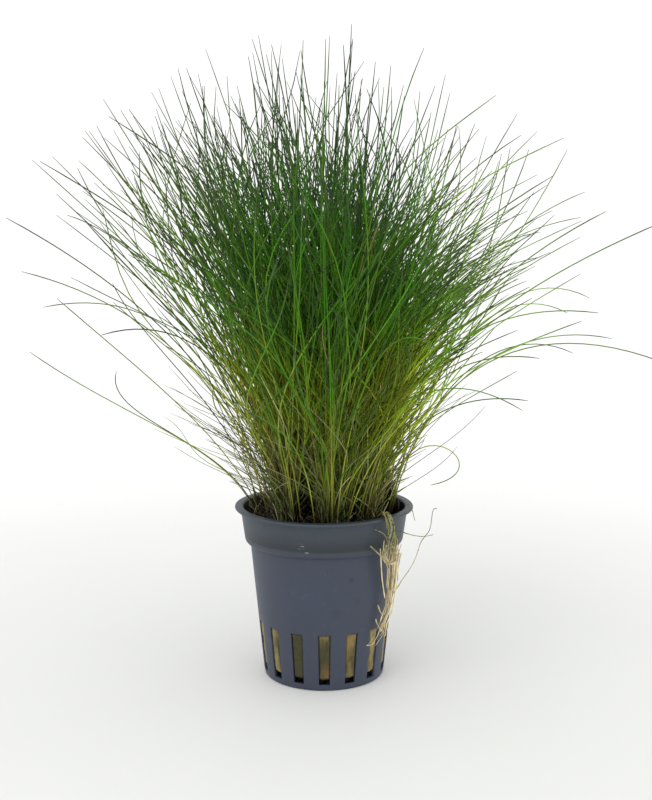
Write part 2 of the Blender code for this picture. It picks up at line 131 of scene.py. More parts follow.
# Outlying stems, as the solids have them: base angle, tip in millimetres, millimetres of rise
# before the turn outward, millimetres that the last stretch climbs, and its share of the reach.
STEM_FOOT_RADIUS = 20.0 * MM
STEM_EARLY_LEAN = 0.12
LONG_STEMS = {
    "left": (
        (199, (-84.6, -12.0, 99.4), 24.0, 22.0, 0.45),
        (189, (-61.2, -4.0, 92.9), 24.0, 15.0, -0.12),
        (209, (-73.4, -24.0, 115.2), 24.0, 24.0, 0.45),
        (178, (-85.7, 10.0, 111.0), 58.0, -6.0, 0.45),
        (219, (-79.7, -36.0, 122.8), 44.0, 8.0, 0.45),
        (167, (-66.2, 20.0, 118.1), 32.0, 20.0, 0.20),
        (229, (-79.5, -50.0, 136.5), 42.0, 18.0, 0.45),
        (157, (-82.9, 34.0, 139.4), 46.0, 8.0, 0.45),
        (147, (-81.2, 46.0, 157.5), 48.0, 24.0, 0.45),
    ),
    "right": (
        (-23, (97.7, -26.0, 95.9), 52.0, -16.0, 0.45),
        (-12, (84.1, -6.0, 102.7), 42.0, -6.0, 0.45),
        (-1, (81.4, 12.0, 113.7), 46.0, -14.0, 0.45),
        (-55, (69.5, -50.0, 112.7), 52.0, -3.0, 0.45),
        (51, (84.7, 38.0, 146.9), 54.0, 12.0, 0.45),
        (64, (89.0, 62.0, 139.4), 66.0, 6.0, 0.45),
        (-64, (82.1, -60.0, 135.3), 48.0, 16.0, 0.45),
        (-72, (50.8, -50.0, 87.8), 40.0, -12.0, 0.45),
        (4, (32.5, 3.0, 57.2), 40.0, -4.0, -2.0),
    ),
    "front": (
        (-80, (26.0, -84.0, 106.0), 42.0, -10.0, 0.45),
        (-88, (6.0, -86.0, 130.0), 46.0, 14.0, 0.45),
        (-97, (-18.0, -88.0, 94.0), 30.0, 10.0, 0.45),
        (-108, (-40.0, -78.0, 128.0), 48.0, 12.0, 0.45),
        (-120, (-54.0, -62.0, 108.0), 44.0, -6.0, 0.45),
    ),
    "back": (
        (75, (34.0, 80.0, 116.0), 46.0, -8.0, 0.45),
        (85, (12.0, 88.0, 128.0), 50.0, 14.0, 0.45),
        (96, (-10.0, 84.0, 98.0), 32.0, 12.0, 0.45),
        (107, (-32.0, 80.0, 132.0), 52.0, 12.0, 0.45),
        (119, (-48.0, 70.0, 104.0), 40.0, -10.0, 0.45),
        (133, (-62.0, 58.0, 122.0), 46.0, 14.0, 0.45),
    ),
}

# Neighbours that each high outlying stem has on its side of the plant.
COMPANIONS = {"left": 0, "right": 2, "front": 2, "back": 2}
COMPANION_TIP_ABOVE_MM = 110.0

# Single stems whose tips stand out of the thick of the grass, as tips in millimetres, and how
# far out a tip lies whose stem may start at the edge of the foot.
LEADER_SPREAD = 30.0 * MM
LEADERS = (
    (-81, 8, 156), (-75, -14, 144), (-83, 20, 139), (-69, 4, 163), (-66, -16, 161), (-65, 22, 165),
    (-63, -4, 171), (-61, 12, 170), (-62, -20, 162), (-59, 18, 153), (-56, -8, 149), (-55, -24, 146),
    (-50, 10, 170), (-46, -12, 173), (-51, 24, 164), (-47, -20, 162), (-45, 6, 179), (-38, 16, 181),
    (-33, -10, 184), (-37, -22, 177), (-21, 8, 186), (-18, -14, 187), (-16, 18, 188), (-12, 0, 183),
    (-14, 26, 181), (-26, 12, 177), (-6, -18, 176), (0, 10, 178), (8, 2, 193), (8, -12, 186),
    (4, 20, 182), (11, 6, 178), (14, -20, 179), (18, 14, 177), (23, -4, 172), (29, 16, 176),
    (34, -10, 177), (37, 6, 174), (35, 20, 165), (36, -22, 162), (40, 10, 165), (43, -6, 164),
    (33, 26, 158), (54, -12, 166), (61, 8, 158), (59, 22, 157), (70, -4, 157), (52, 18, 150),
    (47, -26, 152), (64, 14, 146), (-70, 28, 131), (-60, -30, 136), (-52, 34, 158), (20, 34, 170),
    (-8, 36, 172), (4, -34, 171), (-24, -36, 168), (28, -34, 164), (-36, 38, 166), (40, 36, 160),
)

# Dry runners over the rim at the front right: radius in millimetres, then rows of stops in
# millimetres: to the right of the axis, up from the foot, and off the outer face of the pot.
DRY_RUNNER_NODES = 5
THICK_RUNNER_MM = 0.29
FIBRES_IN_RUNNER = 6
FRESH_RUNNER = 0.105 * MM
NODE_FOOT_Z = 47.0 * MM
NODE_SWELL = 0.6
RUNNERS = (
    (0.34, (16.0, 50.6, -4.6), (17.0, 52.4, -3.4), (17.6, 53.9, -1.2), (18.4, 52.6, 0.5), (19.0, 50.0, 3.3),
     (18.6, 47.1, 3.4), (17.5, 44.8, 3.6)),
    (0.38, (17.6, 46.3, 3.4), (17.3, 44.0, 3.6), (17.2, 41.4, 4.4), (18.4, 39.1, 4.8), (19.8, 39.5, 5.2),
     (20.0, 41.3, 4.8), (18.9, 42.1, 4.2), (18.5, 40.3, 3.8), (18.6, 35.9, 3.6), (18.4, 31.4, 3.0),
     (18.9, 27.9, 2.6), (17.8, 23.9, 2.2), (16.4, 19.9, 1.6)),
    (0.30, (19.9, 48.6, 2.8), (20.1, 47.2, 3.0), (20.0, 45.6, 3.2), (19.2, 43.7, 3.4), (19.0, 41.3, 3.8)),
    (0.44, (21.0, 47.4, 2.6), (21.2, 46.2, 2.8), (21.2, 44.4, 3.0), (20.6, 41.4, 4.4), (20.2, 37.9, 4.0),
     (20.0, 31.9, 3.2), (19.2, 26.9, 2.8), (18.8, 22.9, 2.4), (17.6, 20.3, 2.0), (16.2, 17.7, 1.6),
     (15.0, 15.3, 1.4), (13.6, 13.7, 1.2), (11.6, 13.7, 1.1)),
    (0.36, (21.8, 44.1, 3.2), (21.0, 40.9, 4.2), (20.4, 36.9, 4.2), (20.3, 31.5, 3.4), (19.4, 27.1, 3.0),
     (18.8, 22.3, 2.4), (17.4, 18.9, 2.2), (17.8, 16.3, 2.2), (16.8, 14.7, 1.8), (15.2, 12.7, 1.4)),
    (0.19, (16.1, 43.9, 3.0), (16.5, 39.5, 3.6), (16.9, 33.5, 2.8), (17.8, 27.2, 2.4)),
    (0.20, (13.2, 44.7, 1.2), (15.2, 42.9, 3.0), (17.2, 40.1, 4.2), (18.4, 37.1, 4.2), (19.2, 35.1, 3.8)),
    (0.30, (20.9, 34.9, 3.6), (21.0, 31.3, 3.2), (20.8, 27.5, 2.8), (19.4, 24.5, 2.6)),
    (0.18, (15.8, 25.2, 1.2), (16.6, 22.9, 1.6), (17.9, 20.4, 2.0)),
    (0.18, (15.2, 20.9, 1.1), (15.8, 18.7, 1.4), (16.9, 16.4, 1.9)),
    (0.14, (20.6, 27.9, 3.0), (23.2, 31.5, 4.2), (26.6, 36.9, 7.0), (29.2, 41.9, 7.6), (31.4, 46.7, 8.6),
     (33.0, 50.4, 8.0), (34.2, 51.2, 9.0)),
    (0.13, (22.4, 46.4, 0.8), (25.6, 45.6, 4.0), (29.2, 45.2, 7.6), (32.4, 45.4, 10.0)),
    (0.12, (14.6, 49.4, 1.0), (17.2, 47.9, 2.6), (18.2, 45.5, 3.4)),
    (0.14, (24.6, 54.2, -0.6), (26.0, 52.6, 0.8), (26.8, 49.6, 4.4)),
)

# Seeds of the random draws of each group of pieces.
CLUMP_SEED = 100
SHOOT_SEED = 200
STRAY_SEED = 53
SHEATH_SEED = 77
LEADER_SEED = 41
COMPANION_SEED = 31
ROOT_SEED = 8
CRUMB_SEED = 21
RUNNER_SEED = 3

# Numbers of the small pieces that are strewn by chance.
YOUNG_SHOOTS = 18
STRAY_STEMS = 420
SHEATHS = 640
ROOTS = 240
FLAP_ROOTS = 70
CRUMBS = 150
CRUMBS_PER_SLOT = 3

# Shortest and longest of each kind, in millimetres.
YOUNG_LENGTHS_MM = (7.0, 34.0)
STRAY_LENGTHS_MM = (14.0, 62.0)
SHEATH_LENGTHS_MM = (3.0, 15.0)
ROOT_LENGTHS_MM = (3.0, 9.0)
FLAP_ROOT_LENGTHS_MM = (3.0, 8.0)

# Shares of the stems' length and number, and what a crossing stem makes of its lean.
SHORT_LENGTHS = (0.35, 0.9)
DEAD_LENGTHS = (0.3, 0.9)
LEAST_LENGTH = 0.25
DEAD_SHARE = 0.03
STRAY_DEAD_SHARE = 0.08
YOUNG_DEAD_SHARE = 0.3
CROSSING_LEAN = -0.9

# Share of its radius that a strand keeps at its very tip, and what sets its first ring's turn.
TIP_SHARE = 0.45
FIRST_ACROSS = (0.31, 0.95, 0.05)

# Sides of each kind of tube and rings along it.
STEM_SIDES = 5
STEM_RINGS = 18
LONG_STEM_SIDES = 6
LONG_STEM_RINGS = 26
LEADER_RINGS = 22
SHOOT_RINGS = 8
STRAY_RINGS = 16
FINE_SIDES = 4
SHEATH_RINGS = 6
ROOT_RINGS = 9
RUNNER_SIDES = 7
RINGS_PER_STOP = 6

# Room that is kept free, and the smallest sizes that count as more than nothing.
BOX_MARGIN = 0.5 * MM
RIM_CLEAR_ABOVE = 0.8 * MM
LEAST_ROOM = 0.2 * MM
TINY = 1e-6
ON_AXIS = 1e-7

# Angles between faces, in degrees, from which on an edge is shaded sharp.
SHARP_DEGREES = 40.0
NEVER_SHARP = 180.0

# How the plug, the flap and what lies on them are built up.
PLUG_CLEARANCE = 0.25 * MM
PLUG_ROUND = 1.2 * MM
PLUG_COLUMNS = 480
PLUG_REACH = 22.0 * MM
ROOT_REACH = 22.6 * MM
FLAP_ROOT_RADIUS = 21.4 * MM
FLAP_STEPS = 36
FLAP_AROUND = 28

# Colours that no setting holds: marks, stains, painted light and shade, single stems, sheaths, straw and
# roots.
DUST = (0.30, 0.32, 0.33)
SMEAR = (0.032, 0.036, 0.052)
SCUFF = (0.55, 0.58, 0.58)
SPECK = (0.022, 0.022, 0.028)
# Painted shade on the inner face of the collar.
INNER_SHADE_PLASTIC = (0.012, 0.016, 0.020)
# Painted light on the wool in the side slots.
LIT_SIDE_WOOL = (0.36, 0.30, 0.14)
RUST = (0.34, 0.18, 0.06)
SOAKED_WOOL = (0.012, 0.010, 0.008)
BROWN_WOOL = (0.036, 0.026, 0.015)
OLD_STEM = (0.17, 0.20, 0.02)
OUTER_STEM = (0.21, 0.28, 0.04)
# Painted light on the stems.
LIT_STEM = (0.42, 0.43, 0.02)
RUSTY_STEM = (0.16, 0.075, 0.025)
# Painted highlight on the palest stems.
HIGHLIGHT_STEM = (0.42, 0.50, 0.20)
DEAD_STEM = (0.40, 0.30, 0.14)
DEAD_STEM_DARK = (0.22, 0.12, 0.05)
STRAY_DARK = (0.028, 0.040, 0.014)
STRAY_PALE = (0.26, 0.31, 0.09)
SHEATH_BLACK = (0.008, 0.006, 0.004)
SHEATH_BROWN = (0.060, 0.032, 0.012)
SHEATH_OLIVE = (0.13, 0.11, 0.03)
STRAW_BROWN = (0.30, 0.21, 0.08)
STRAW_OLIVE = (0.19, 0.20, 0.05)
STRAW_SPOT = (0.035, 0.030, 0.015)
FRESH_RUNNER_GREEN = (0.15, 0.155, 0.10)
ROOT_BROWN = (0.035, 0.022, 0.014)
ROOT_CREAM = (0.50, 0.42, 0.28)

# The studio: the lights' places and powers, the floor's size and where it fades, and the lens.
LIGHT_SIZE = 0.60
LIGHT_TARGET = (0.0, 0.0, 0.09)
KEY_LIGHT = ((-0.30, -0.50, 0.75), 1.6)
FILL_LIGHT = ((0.6, -0.4, 0.35), 0.4)
FLOOR_RADIUS = 1.2
FLOOR_FADE = (0.10, 0.42)
SENSOR_WIDTH_MM = 36.0
CLIP_START = 0.01


def length_setting(name, description, default):
    """A setting in metres."""
    return bpy.props.FloatProperty(
        name=name, description=description, default=default, unit="LENGTH")


def angle_setting(name, description, degrees):
    """A setting that is an angle, given in degrees."""
    return bpy.props.FloatProperty(
        name=name, description=description, default=math.radians(degrees), subtype="ANGLE")


def plain_setting(name, description, default):
    """A setting without a unit, such as a share."""
    return bpy.props.FloatProperty(name=name, description=description, default=default)


def count_setting(name, description, default):
    """A setting that counts things."""
    return bpy.props.IntProperty(name=name, description=description, default=default, min=1)


def colour_setting(name, description, default):
    """A setting that is a colour."""
    return bpy.props.FloatVectorProperty(
        name=name, description=description, default=default, subtype="COLOR")


class PotSettings(bpy.types.PropertyGroup):
    """Sizes and colours of the net pot."""

    segments_in_slot: count_setting("Columns per slot", "Mesh columns across one wall slot", 5)
    segments_in_rib: count_setting("Columns per rib", "Mesh columns between two wall slots", 7)
    edge_round: length_setting("Slot edge", "Rounding of the edges of the slots", 0.16 * MM)
    unevenness: length_setting("Unevenness", "How far the lip strays from a true circle", 0.22 * MM)
    plastic: colour_setting("Plastic", "Colour of the pot's body", (0.036, 0.046, 0.076))
    collar: colour_setting("Collar", "Greener colour of the collar", (0.034, 0.047, 0.061))


class WoolSettings(bpy.types.PropertyGroup):
    """Sizes and colours of the rock wool."""

    fray: length_setting("Fray", "Depth of the torn fibres on the wool", 0.22 * MM)
    swell: length_setting("Swell", "How far the wool stands into the wall's slots", 0.75 * MM)
    swell_edge: length_setting("Swell edge", "Width over which the swelling rises", 0.35 * MM)
    fibre: colour_setting("Wool", "Wool seen through the slots", (0.235, 0.185, 0.075))
    stained: colour_setting("Stained wool", "Wet, stained wool", (0.060, 0.056, 0.028))
    # The dark wool colour is also painted shade on the plug's top.
    dark: colour_setting("Dark wool", "Wool on top, between the stems", (0.010, 0.008, 0.006))


class GrassSettings(bpy.types.PropertyGroup):
    """Numbers, sizes and colours of the stems."""

    tufts_in_ring_clump: count_setting("Tufts, ring", "Tufts in each of the outer clumps", 38)
    tufts_in_middle_clump: count_setting("Tufts, middle", "Tufts in the middle clump", 31)
    stems_in_tuft: count_setting("Stems in a tuft", "Stems that rise from one tuft", 10)
    tuft_radius: length_setting("Tuft radius", "Spread of a tuft's stems at the foot", 0.7 * MM)
    mean_length: length_setting("Mean length", "Mean length of full-grown stems", 117.0 * MM)
    length_scatter: length_setting("Length scatter", "Random spread of the length", 14.0 * MM)
    longest: length_setting("Longest", "Length that no stem in a clump passes", 140.0 * MM)
    short_share: plain_setting("Short share", "Share of the stems not full grown", 0.36)
    right_shorter: plain_setting("Right shorter", "How much shorter stems at the right are", 0.26)
    lean_left: angle_setting("Lean left", "Mean lean of the leftmost stems' tips", 31.0)
    lean_right: angle_setting("Lean right", "Mean lean of the rightmost stems' tips", 112.0)
    right_arch: plain_setting("Right arch", "How much later the rightmost stems turn out", 1.6)
    right_upright: plain_setting("Right upright", "How upright the rightmost stems start", 0.9)
    left_early: plain_setting("Left early", "Share of lean at a leftmost stem's foot", 0.15)
    lean_shift: angle_setting("Lean shift", "Lean to the right that all stems share", -1.5)
    lean_growth: plain_setting("Lean growth", "Power of the reach that the lean follows", 1.7)
    tall_tilt: angle_setting("Tall tilt", "Lean to the left that a stem gains with length", 4.0)
    tuft_scatter: angle_setting("Tuft scatter", "Spread of the lean from tuft to tuft", 8.0)
    stem_scatter: angle_setting("Stem scatter", "Spread of the lean from stem to stem", 16.5)
    curl: angle_setting("Curl", "Random turn of a stem between its foot and its tip", 17.0)
    sway: angle_setting("Sway", "Random bending of a stem to and fro along its length", 20.0)
    settle: plain_setting("Settle", "Share of its length over which a stem turns", 1.05)
    crossing_share: plain_setting("Crossing share", "Share of stems that lean across", 0.2)
    plantlet_size: plain_setting("Plantlet size", "Spread of a plantlet's feet", 0.44)
    foot_radius: length_setting("Foot radius", "Radius of a stem above the wool", 0.185 * MM)
    tip_radius: length_setting("Tip radius", "Radius of a stem just below its tip", 0.148 * MM)
    # The sheath colour is also painted shade at the feet of the stems.
    sheath_and_shade_colour: colour_setting("Sheath", "Sheaths round the feet", (0.030, 0.026, 0.010))
    foot_colour: colour_setting("Foot", "Yellow olive, low down", (0.285, 0.320, 0.042))
    middle_colour: colour_setting("Middle", "Fresh green, half way up", (0.064, 0.228, 0.001))
    upper_colour: colour_setting("Upper", "Deep green of the upper stems", (0.040, 0.174, 0.002))
    tip_colour: colour_setting("Tip", "Grey green of the thin tips", (0.034, 0.044, 0.022))
    dry_colour: colour_setting("Dry", "Straw of dead stems and runners", (0.74, 0.63, 0.37))


class StudioSettings(bpy.types.PropertyGroup):
    """Camera and floor."""

    camera_distance: length_setting("Distance", "Camera in front of the pot's axis", 0.340)
    camera_height: length_setting("Height", "Camera above the floor", 0.1293)
    camera_side: length_setting("Side", "Camera to the right of the axis", 0.0006)
    camera_pitch: angle_setting("Pitch", "How far the camera looks down", math.degrees(0.133))
    lens: plain_setting("Lens", "Focal length in millimetres on a 36 mm sensor", 51.56)
    floor_colour: colour_setting("Floor", "Plain pale floor", (0.78, 0.785, 0.775))
    surround: colour_setting("Surround", "White studio behind", (1.06, 1.06, 1.05))


class Shade:
    """A socket of a shader tree that Python's operators work on."""

    def __init__(self, tree, socket):
        self.tree = tree
        self.socket = socket

    def is_number(self):
        """Whether the socket carries one number, not a colour or a vector."""
        return self.socket.type == "VALUE"

    def joined(self, operation, first, second):
        """One node of two values: numbers where both are, otherwise vectors."""
        values = (first, second)
        number = all(v.is_number() if isinstance(v, Shade) else np.isscalar(v) for v in values)
        kind = "ShaderNodeMath" if number else "ShaderNodeVectorMath"
        made = self.tree.nodes.new(kind)
        made.operation = operation
        for place, value in enumerate(values):
            if isinstance(value, Shade):
                self.tree.links.new(value.socket, made.inputs[place])
            elif number:
                made.inputs[place].default_value = value
            else:
                made.inputs[place].default_value = (value,) * 3 if np.isscalar(value) else value
        return Shade(self.tree, made.outputs[0])

    def __add__(self, other):
        return self.joined("ADD", self, other)

    def __radd__(self, other):
        return self.joined("ADD", other, self)

    def __sub__(self, other):
        return self.joined("SUBTRACT", self, other)

    def __rsub__(self, other):
        return self.joined("SUBTRACT", other, self)

    def __mul__(self, other):
        return self.joined("MULTIPLY", self, other)


class Finish:
    """A material whose nodes are made by plain calls and expressions."""

    def __init__(self, name, **constants):
        self.material = bpy.data.materials.new(name)
        self.material.use_nodes = True
        self.tree = self.material.node_tree
        self.surface = self.tree.nodes["Principled BSDF"]
        for socket, value in constants.items():
            self.surface.inputs[socket.replace("_", " ")].default_value = value

    def node(self, kind, settings=None, inputs=None, output=0):
        """Any node: its settings first, then the values or links of its sockets."""
        made = self.tree.nodes.new(kind)
        for key, value in (settings or {}).items():
            setattr(made, key, value)
        for key, value in (inputs or {}).items():
            if isinstance(value, Shade):
                self.tree.links.new(value.socket, made.inputs[key])
            else:
                made.inputs[key].default_value = value
        return Shade(self.tree, made.outputs[output])

    def attribute(self, name):
        """A value that the mesh has at each point."""
        return self.node("ShaderNodeAttribute", {"attribute_name": name}, output="Fac")

    def place(self):
        """Place on the object, in metres."""
        return self.node("ShaderNodeTexCoord", output="Object")

    def axis(self, name):
        """One coordinate of the place on the object, X, Y or Z."""
        return self.node("ShaderNodeSeparateXYZ", inputs={"Vector": self.place()}, output=name)

    def noise(self, scale, detail=3.0, roughness=0.5, stretch=(1.0, 1.0, 1.0), warp=0.0):
        """Noise in object space; stretch below 1 draws it out along that axis."""
        inputs = {"Vector": self.place() * stretch, "Scale": scale, "Detail": detail}
        inputs.update({"Roughness": roughness, "Distortion": warp})
        return self.node("ShaderNodeTexNoise", inputs=inputs)

    def rise(self, value, low, high):
        """0 below low, 1 above high and smooth between them; low may be the larger."""
        settings = {"interpolation_type": "SMOOTHSTEP"}
        return self.node("ShaderNodeMapRange", settings,
                         {"Value": value, "From Min": low, "From Max": high})

    def mix(self, factor, first, second):
        """A colour between two colours."""
        made = self.tree.nodes.new("ShaderNodeMix")
        made.data_type = "RGBA"
        for place, value in ((0, factor), (6, first), (7, second)):
            if isinstance(value, Shade):
                self.tree.links.new(value.socket, made.inputs[place])
            elif place == 0:
                made.inputs[place].default_value = value
            else:
                made.inputs[place].default_value = (*value[:3], 1.0)
        return Shade(self.tree, made.outputs[2])

    def near(self, point, size):
        """1 at a point on the object and 0 from size away."""
        away = self.node("ShaderNodeVectorMath", {"operation": "DISTANCE"},
                         {0: self.place(), 1: point}, output="Value")
        return self.rise(away, size, 0.0)

    def maths(self, operation, value):
        """A Math node of one value."""
        return self.node("ShaderNodeMath", {"operation": operation}, {0: value})

    def length(self, vector):
        """The length of a vector."""
        return self.node("ShaderNodeVectorMath", {"operation": "LENGTH"}, {0: vector}, output="Value")

    def marks(self, *places):
        """Round marks added up: each a radius, degrees, height and size in mm, and strength."""
        total = 0.0
        for radius, degrees, height_mm, size_mm, strength in places:
            point = polar(radius, math.radians(degrees), height_mm * MM)
            total = total + self.near(point, size_mm * MM) * strength
        return total

    def drive(self, socket, value):
        """Feed a socket of the surface."""
        self.tree.links.new(value.socket, self.surface.inputs[socket])

    def bump(self, height, strength, distance):
        """Feed the surface's normal from a height."""
        inputs = {"Height": height, "Strength": strength, "Distance": distance}
        self.drive("Normal", self.node("ShaderNodeBump", inputs=inputs))


def pot_plastic(settings):
    """Matt slate-blue plastic with a greener collar, faint smears, specks, a few scuffs and painted shade
    inside the collar.
    """
    skin = Finish("pot_plastic", Roughness=0.48, Metallic=0.0)
    height = skin.axis("Z")
    collar = skin.rise(height, BODY_TOP_Z, COLLAR_FOOT_Z)
    cloud = skin.noise(70.0, 4.0)
    colour = skin.mix(collar * 0.75, settings.plastic, settings.collar)
    colour = colour * (0.86 + cloud * 0.28)
    dust = skin.rise(skin.noise(420.0, 5.0, 0.7), 0.56, 0.72)
    colour = skin.mix(dust * 0.06, colour, DUST)
    smear = skin.rise(skin.noise(160.0, 3.0, 0.6, (1.0, 1.0, 0.35)), 0.60, 0.78)
    colour = skin.mix(smear * 0.22, colour, SMEAR)
    grain = skin.rise(skin.noise(1500.0, 2.0, 0.6, (0.25, 1.0, 3.0)), 0.53, 0.62)
    scuffs = skin.marks(
        (COLLAR_FOOT_RADIUS, -106.0, 44.8, 2.2, 1.0), (COLLAR_FOOT_RADIUS, -101.5, 43.3, 1.2, 1.0),
        (COLLAR_FOOT_RADIUS, -122.0, 47.5, 0.9, 1.0))
    colour = skin.mix(skin.rise(scuffs * grain, 0.25, 0.75), colour, SCUFF)
    specks = skin.marks(
        (body_radius(34.2 * MM), -69.0, 34.2, 1.3, 1.0), (COLLAR_TOP_RADIUS, -133.0, 50.0, 0.8, 1.0),
        (20.6 * MM, -79.0, 24.5, 3.2, 0.5), (20.6 * MM, -62.0, 27.5, 2.2, 0.5))
    colour = skin.mix(skin.rise(specks, 0.1, 0.9) * 0.7, colour, SPECK)
    # Painted shade: the inner face of the collar, above its foot, is darkened nearly to black.
    inner = skin.rise(skin.length(skin.place() * (1.0, 1.0, 0.0)),
                      COLLAR_TOP_RADIUS - 0.3 * MM, COLLAR_TOP_RADIUS - 1.2 * MM)
    wet_and_shade = inner * skin.rise(height, COLLAR_FOOT_Z, COLLAR_FOOT_Z + MM)
    skin.drive("Base Color", skin.mix(wet_and_shade * 0.85, colour, INNER_SHADE_PLASTIC))
    skin.drive("Roughness", 0.40 + cloud * 0.14 + dust * 0.12)
    skin.bump(skin.noise(2600.0, 2.0, 0.6) + skin.noise(260.0, 3.0) * 1.5, 0.22, 0.05 * MM)
    return skin.material


def rock_wool(settings):
    """Matted mineral fibres: ochre with olive stains, dark and wet at the bottom, with painted light on the
    wool at the sides and painted shade on top.
    """
    skin = Finish("rock_wool", Roughness=0.9, Metallic=0.0, Specular_IOR_Level=0.25)
    height = skin.axis("Z")
    fibres = skin.noise(900.0, 5.0, 0.7, (1.0, 1.0, 0.45), 1.2)
    first, pitch = math.degrees(FIRST_SLOT), 360.0 / SLOT_COUNT
    wet_and_shade = skin.marks((19.0 * MM, first - pitch, 9.0, 14.0, 1.4),
                     (19.0 * MM, first + pitch, 9.0, 12.0, 0.55))
    # Painted light: wool in the slots to the left and right is paler, as if it caught more light.
    side = skin.rise(skin.maths("ABSOLUTE", skin.axis("X")), 9.0 * MM, 13.0 * MM)
    colour = skin.mix(side * 0.7, settings.fibre, LIT_SIDE_WOOL)
    stains = skin.noise(240.0, 3.0, 0.6, (1.0, 1.0, 0.3)) + wet_and_shade * 0.4
    colour = skin.mix(skin.rise(stains, 0.48, 0.80), colour, settings.stained)
    rust = skin.rise(skin.noise(210.0, 2.0, 0.5, (1.0, 1.0, 0.35)), 0.52, 0.70)
    colour = skin.mix(rust * 0.45, colour, RUST)
    colour = colour * (0.65 + fibres * 0.7)
    soaked = skin.rise(height + (fibres - 0.5) * 2.0 * MM, 3.4 * MM, 2.4 * MM)
    colour = skin.mix(soaked, colour, SOAKED_WOOL)
    # Painted shade: the top of the plug, under the stems, darkens to the dark wool colour.
    shaded_top = skin.rise(height, PLUG_TOP - 10.0 * MM, PLUG_TOP - 5.0 * MM)
    skin.drive("Base Color", skin.mix(shaded_top, colour, settings.dark))
    skin.bump(fibres, 0.9, 0.35 * MM)
    return skin.material


def dark_wool(settings):
    """Black-brown wool that has been under water."""
    skin = Finish("dark_wool", Roughness=0.85, Metallic=0.0, Specular_IOR_Level=0.3)
    fibres = skin.noise(1100.0, 5.0, 0.7, (1.0, 1.0, 0.6), 1.0)
    skin.drive("Base Color", skin.mix(skin.rise(fibres, 0.45, 0.75), settings.dark, BROWN_WOOL))
    skin.bump(fibres, 0.9, 0.3 * MM)
    return skin.material


def stem_finish(settings, name):
    """Round green stems: brown sheath, olive foot, fresh green, deep green, grey-green tip, with painted
    shade low down, painted pools of light and painted highlights.
    """
    skin = Finish(name, Roughness=0.5, Metallic=0.0, Specular_IOR_Level=0.22)
    along, tint, dry = (skin.attribute(key) for key in ("along", "tint", "dry"))
    # Sheath colour low down, which is also painted shade at the feet of the stems.
    low = skin.rise(skin.axis("Z"), PLUG_TOP + 1.5 * MM, PLUG_TOP + 15.0 * MM)
    colour = skin.mix(low, settings.sheath_and_shade_colour, settings.foot_colour)
    colour = skin.mix(skin.rise(along, 0.14, 0.44), colour, settings.middle_colour)
    colour = skin.mix(skin.rise(along, 0.40, 0.78), colour, settings.upper_colour)
    yellowed = skin.rise(tint, 0.62, 1.0) * skin.rise(along, 0.85, 0.45)
    colour = skin.mix(yellowed * 0.6, colour, settings.foot_colour)
    other = skin.maths("FRACT", tint * 7.3)
    colour = skin.mix(skin.rise(other, 0.60, 1.0) * 0.4, colour, OLD_STEM)
    aside = skin.rise(skin.maths("ABSOLUTE", skin.axis("X")), 18.0 * MM, 50.0 * MM)
    colour = skin.mix(aside * 0.45, colour, OUTER_STEM)
    colour = skin.mix(skin.rise(along, 0.80, 1.0) * 0.85, colour, settings.tip_colour)
    # Painted light: two pools of light on the stems, left and right of the middle.
    light_pool = skin.near(Vector((-24.0, -6.0, 84.0)) * MM, 38.0 * MM)
    light_pool = light_pool + skin.near(Vector((17.0, -9.0, 84.0)) * MM, 38.0 * MM)
    colour = skin.mix(light_pool * 0.7, colour, LIT_STEM)
    rusty = skin.rise(tint, 0.35, 0.0) * skin.rise(along, 0.36, 0.10)
    rusty = rusty + skin.near(Vector((-11.5, -12.0, 66.0)) * MM, 16.0 * MM)
    colour = skin.mix(rusty * 0.6, colour, RUSTY_STEM)
    # Painted highlight: the palest stems are washed paler towards their feet.
    pale = skin.rise(tint, 0.80, 1.0) * skin.rise(along, 0.50, 0.30)
    colour = skin.mix(pale * 0.5, colour, HIGHLIGHT_STEM)
    mottle = skin.noise(450.0, 3.0)
    colour = colour * ((0.30 + tint * 1.15) * (0.8 + mottle * 0.4))
    colour = colour * (1.0 + skin.rise(skin.axis("X"), 12.0 * MM, 32.0 * MM) * 0.65)
    shade = skin.near(Vector((-9.0, -8.0, 52.0)) * MM, 18.0 * MM)
    shade = shade * 0.5 + skin.rise(skin.axis("Z"), 66.0 * MM, 50.0 * MM) * 0.3
    colour = colour * (1.0 - shade)
    straw = skin.mix(mottle, DEAD_STEM, DEAD_STEM_DARK)
    skin.drive("Base Color", skin.mix(dry, colour, straw))
    skin.drive("Roughness", 0.42 + mottle * 0.2 + dry * 0.2)
    return skin.material


def stray_finish(settings):
    """Fine stems in the shade: grey green, some nearly black, a few dead."""
    skin = Finish("stray_green", Roughness=0.55, Metallic=0.0)
    colour = skin.mix(skin.attribute("tint"), STRAY_DARK, STRAY_PALE)
    colour = skin.mix(skin.attribute("dry"), colour, settings.dry_colour)
    skin.drive("Base Color", colour * (0.8 + skin.noise(500.0) * 0.4))
    return skin.material


def sheath_finish():
    """Old sheaths: black-brown low down, rusty and olive towards their ends."""
    skin = Finish("old_sheath", Roughness=0.8, Metallic=0.0, Specular_IOR_Level=0.25)
    tint = skin.attribute("tint")
    colour = skin.mix(skin.rise(tint, 0.4, 1.0), SHEATH_BLACK, SHEATH_BROWN)
    olive = skin.rise(skin.attribute("along"), 0.45, 1.0) * skin.rise(tint, 0.5, 1.0)
    colour = skin.mix(olive * 0.6, colour, SHEATH_OLIVE)
    skin.drive("Base Color", colour * (0.7 + skin.noise(700.0, 3.0) * 0.6))
    return skin.material


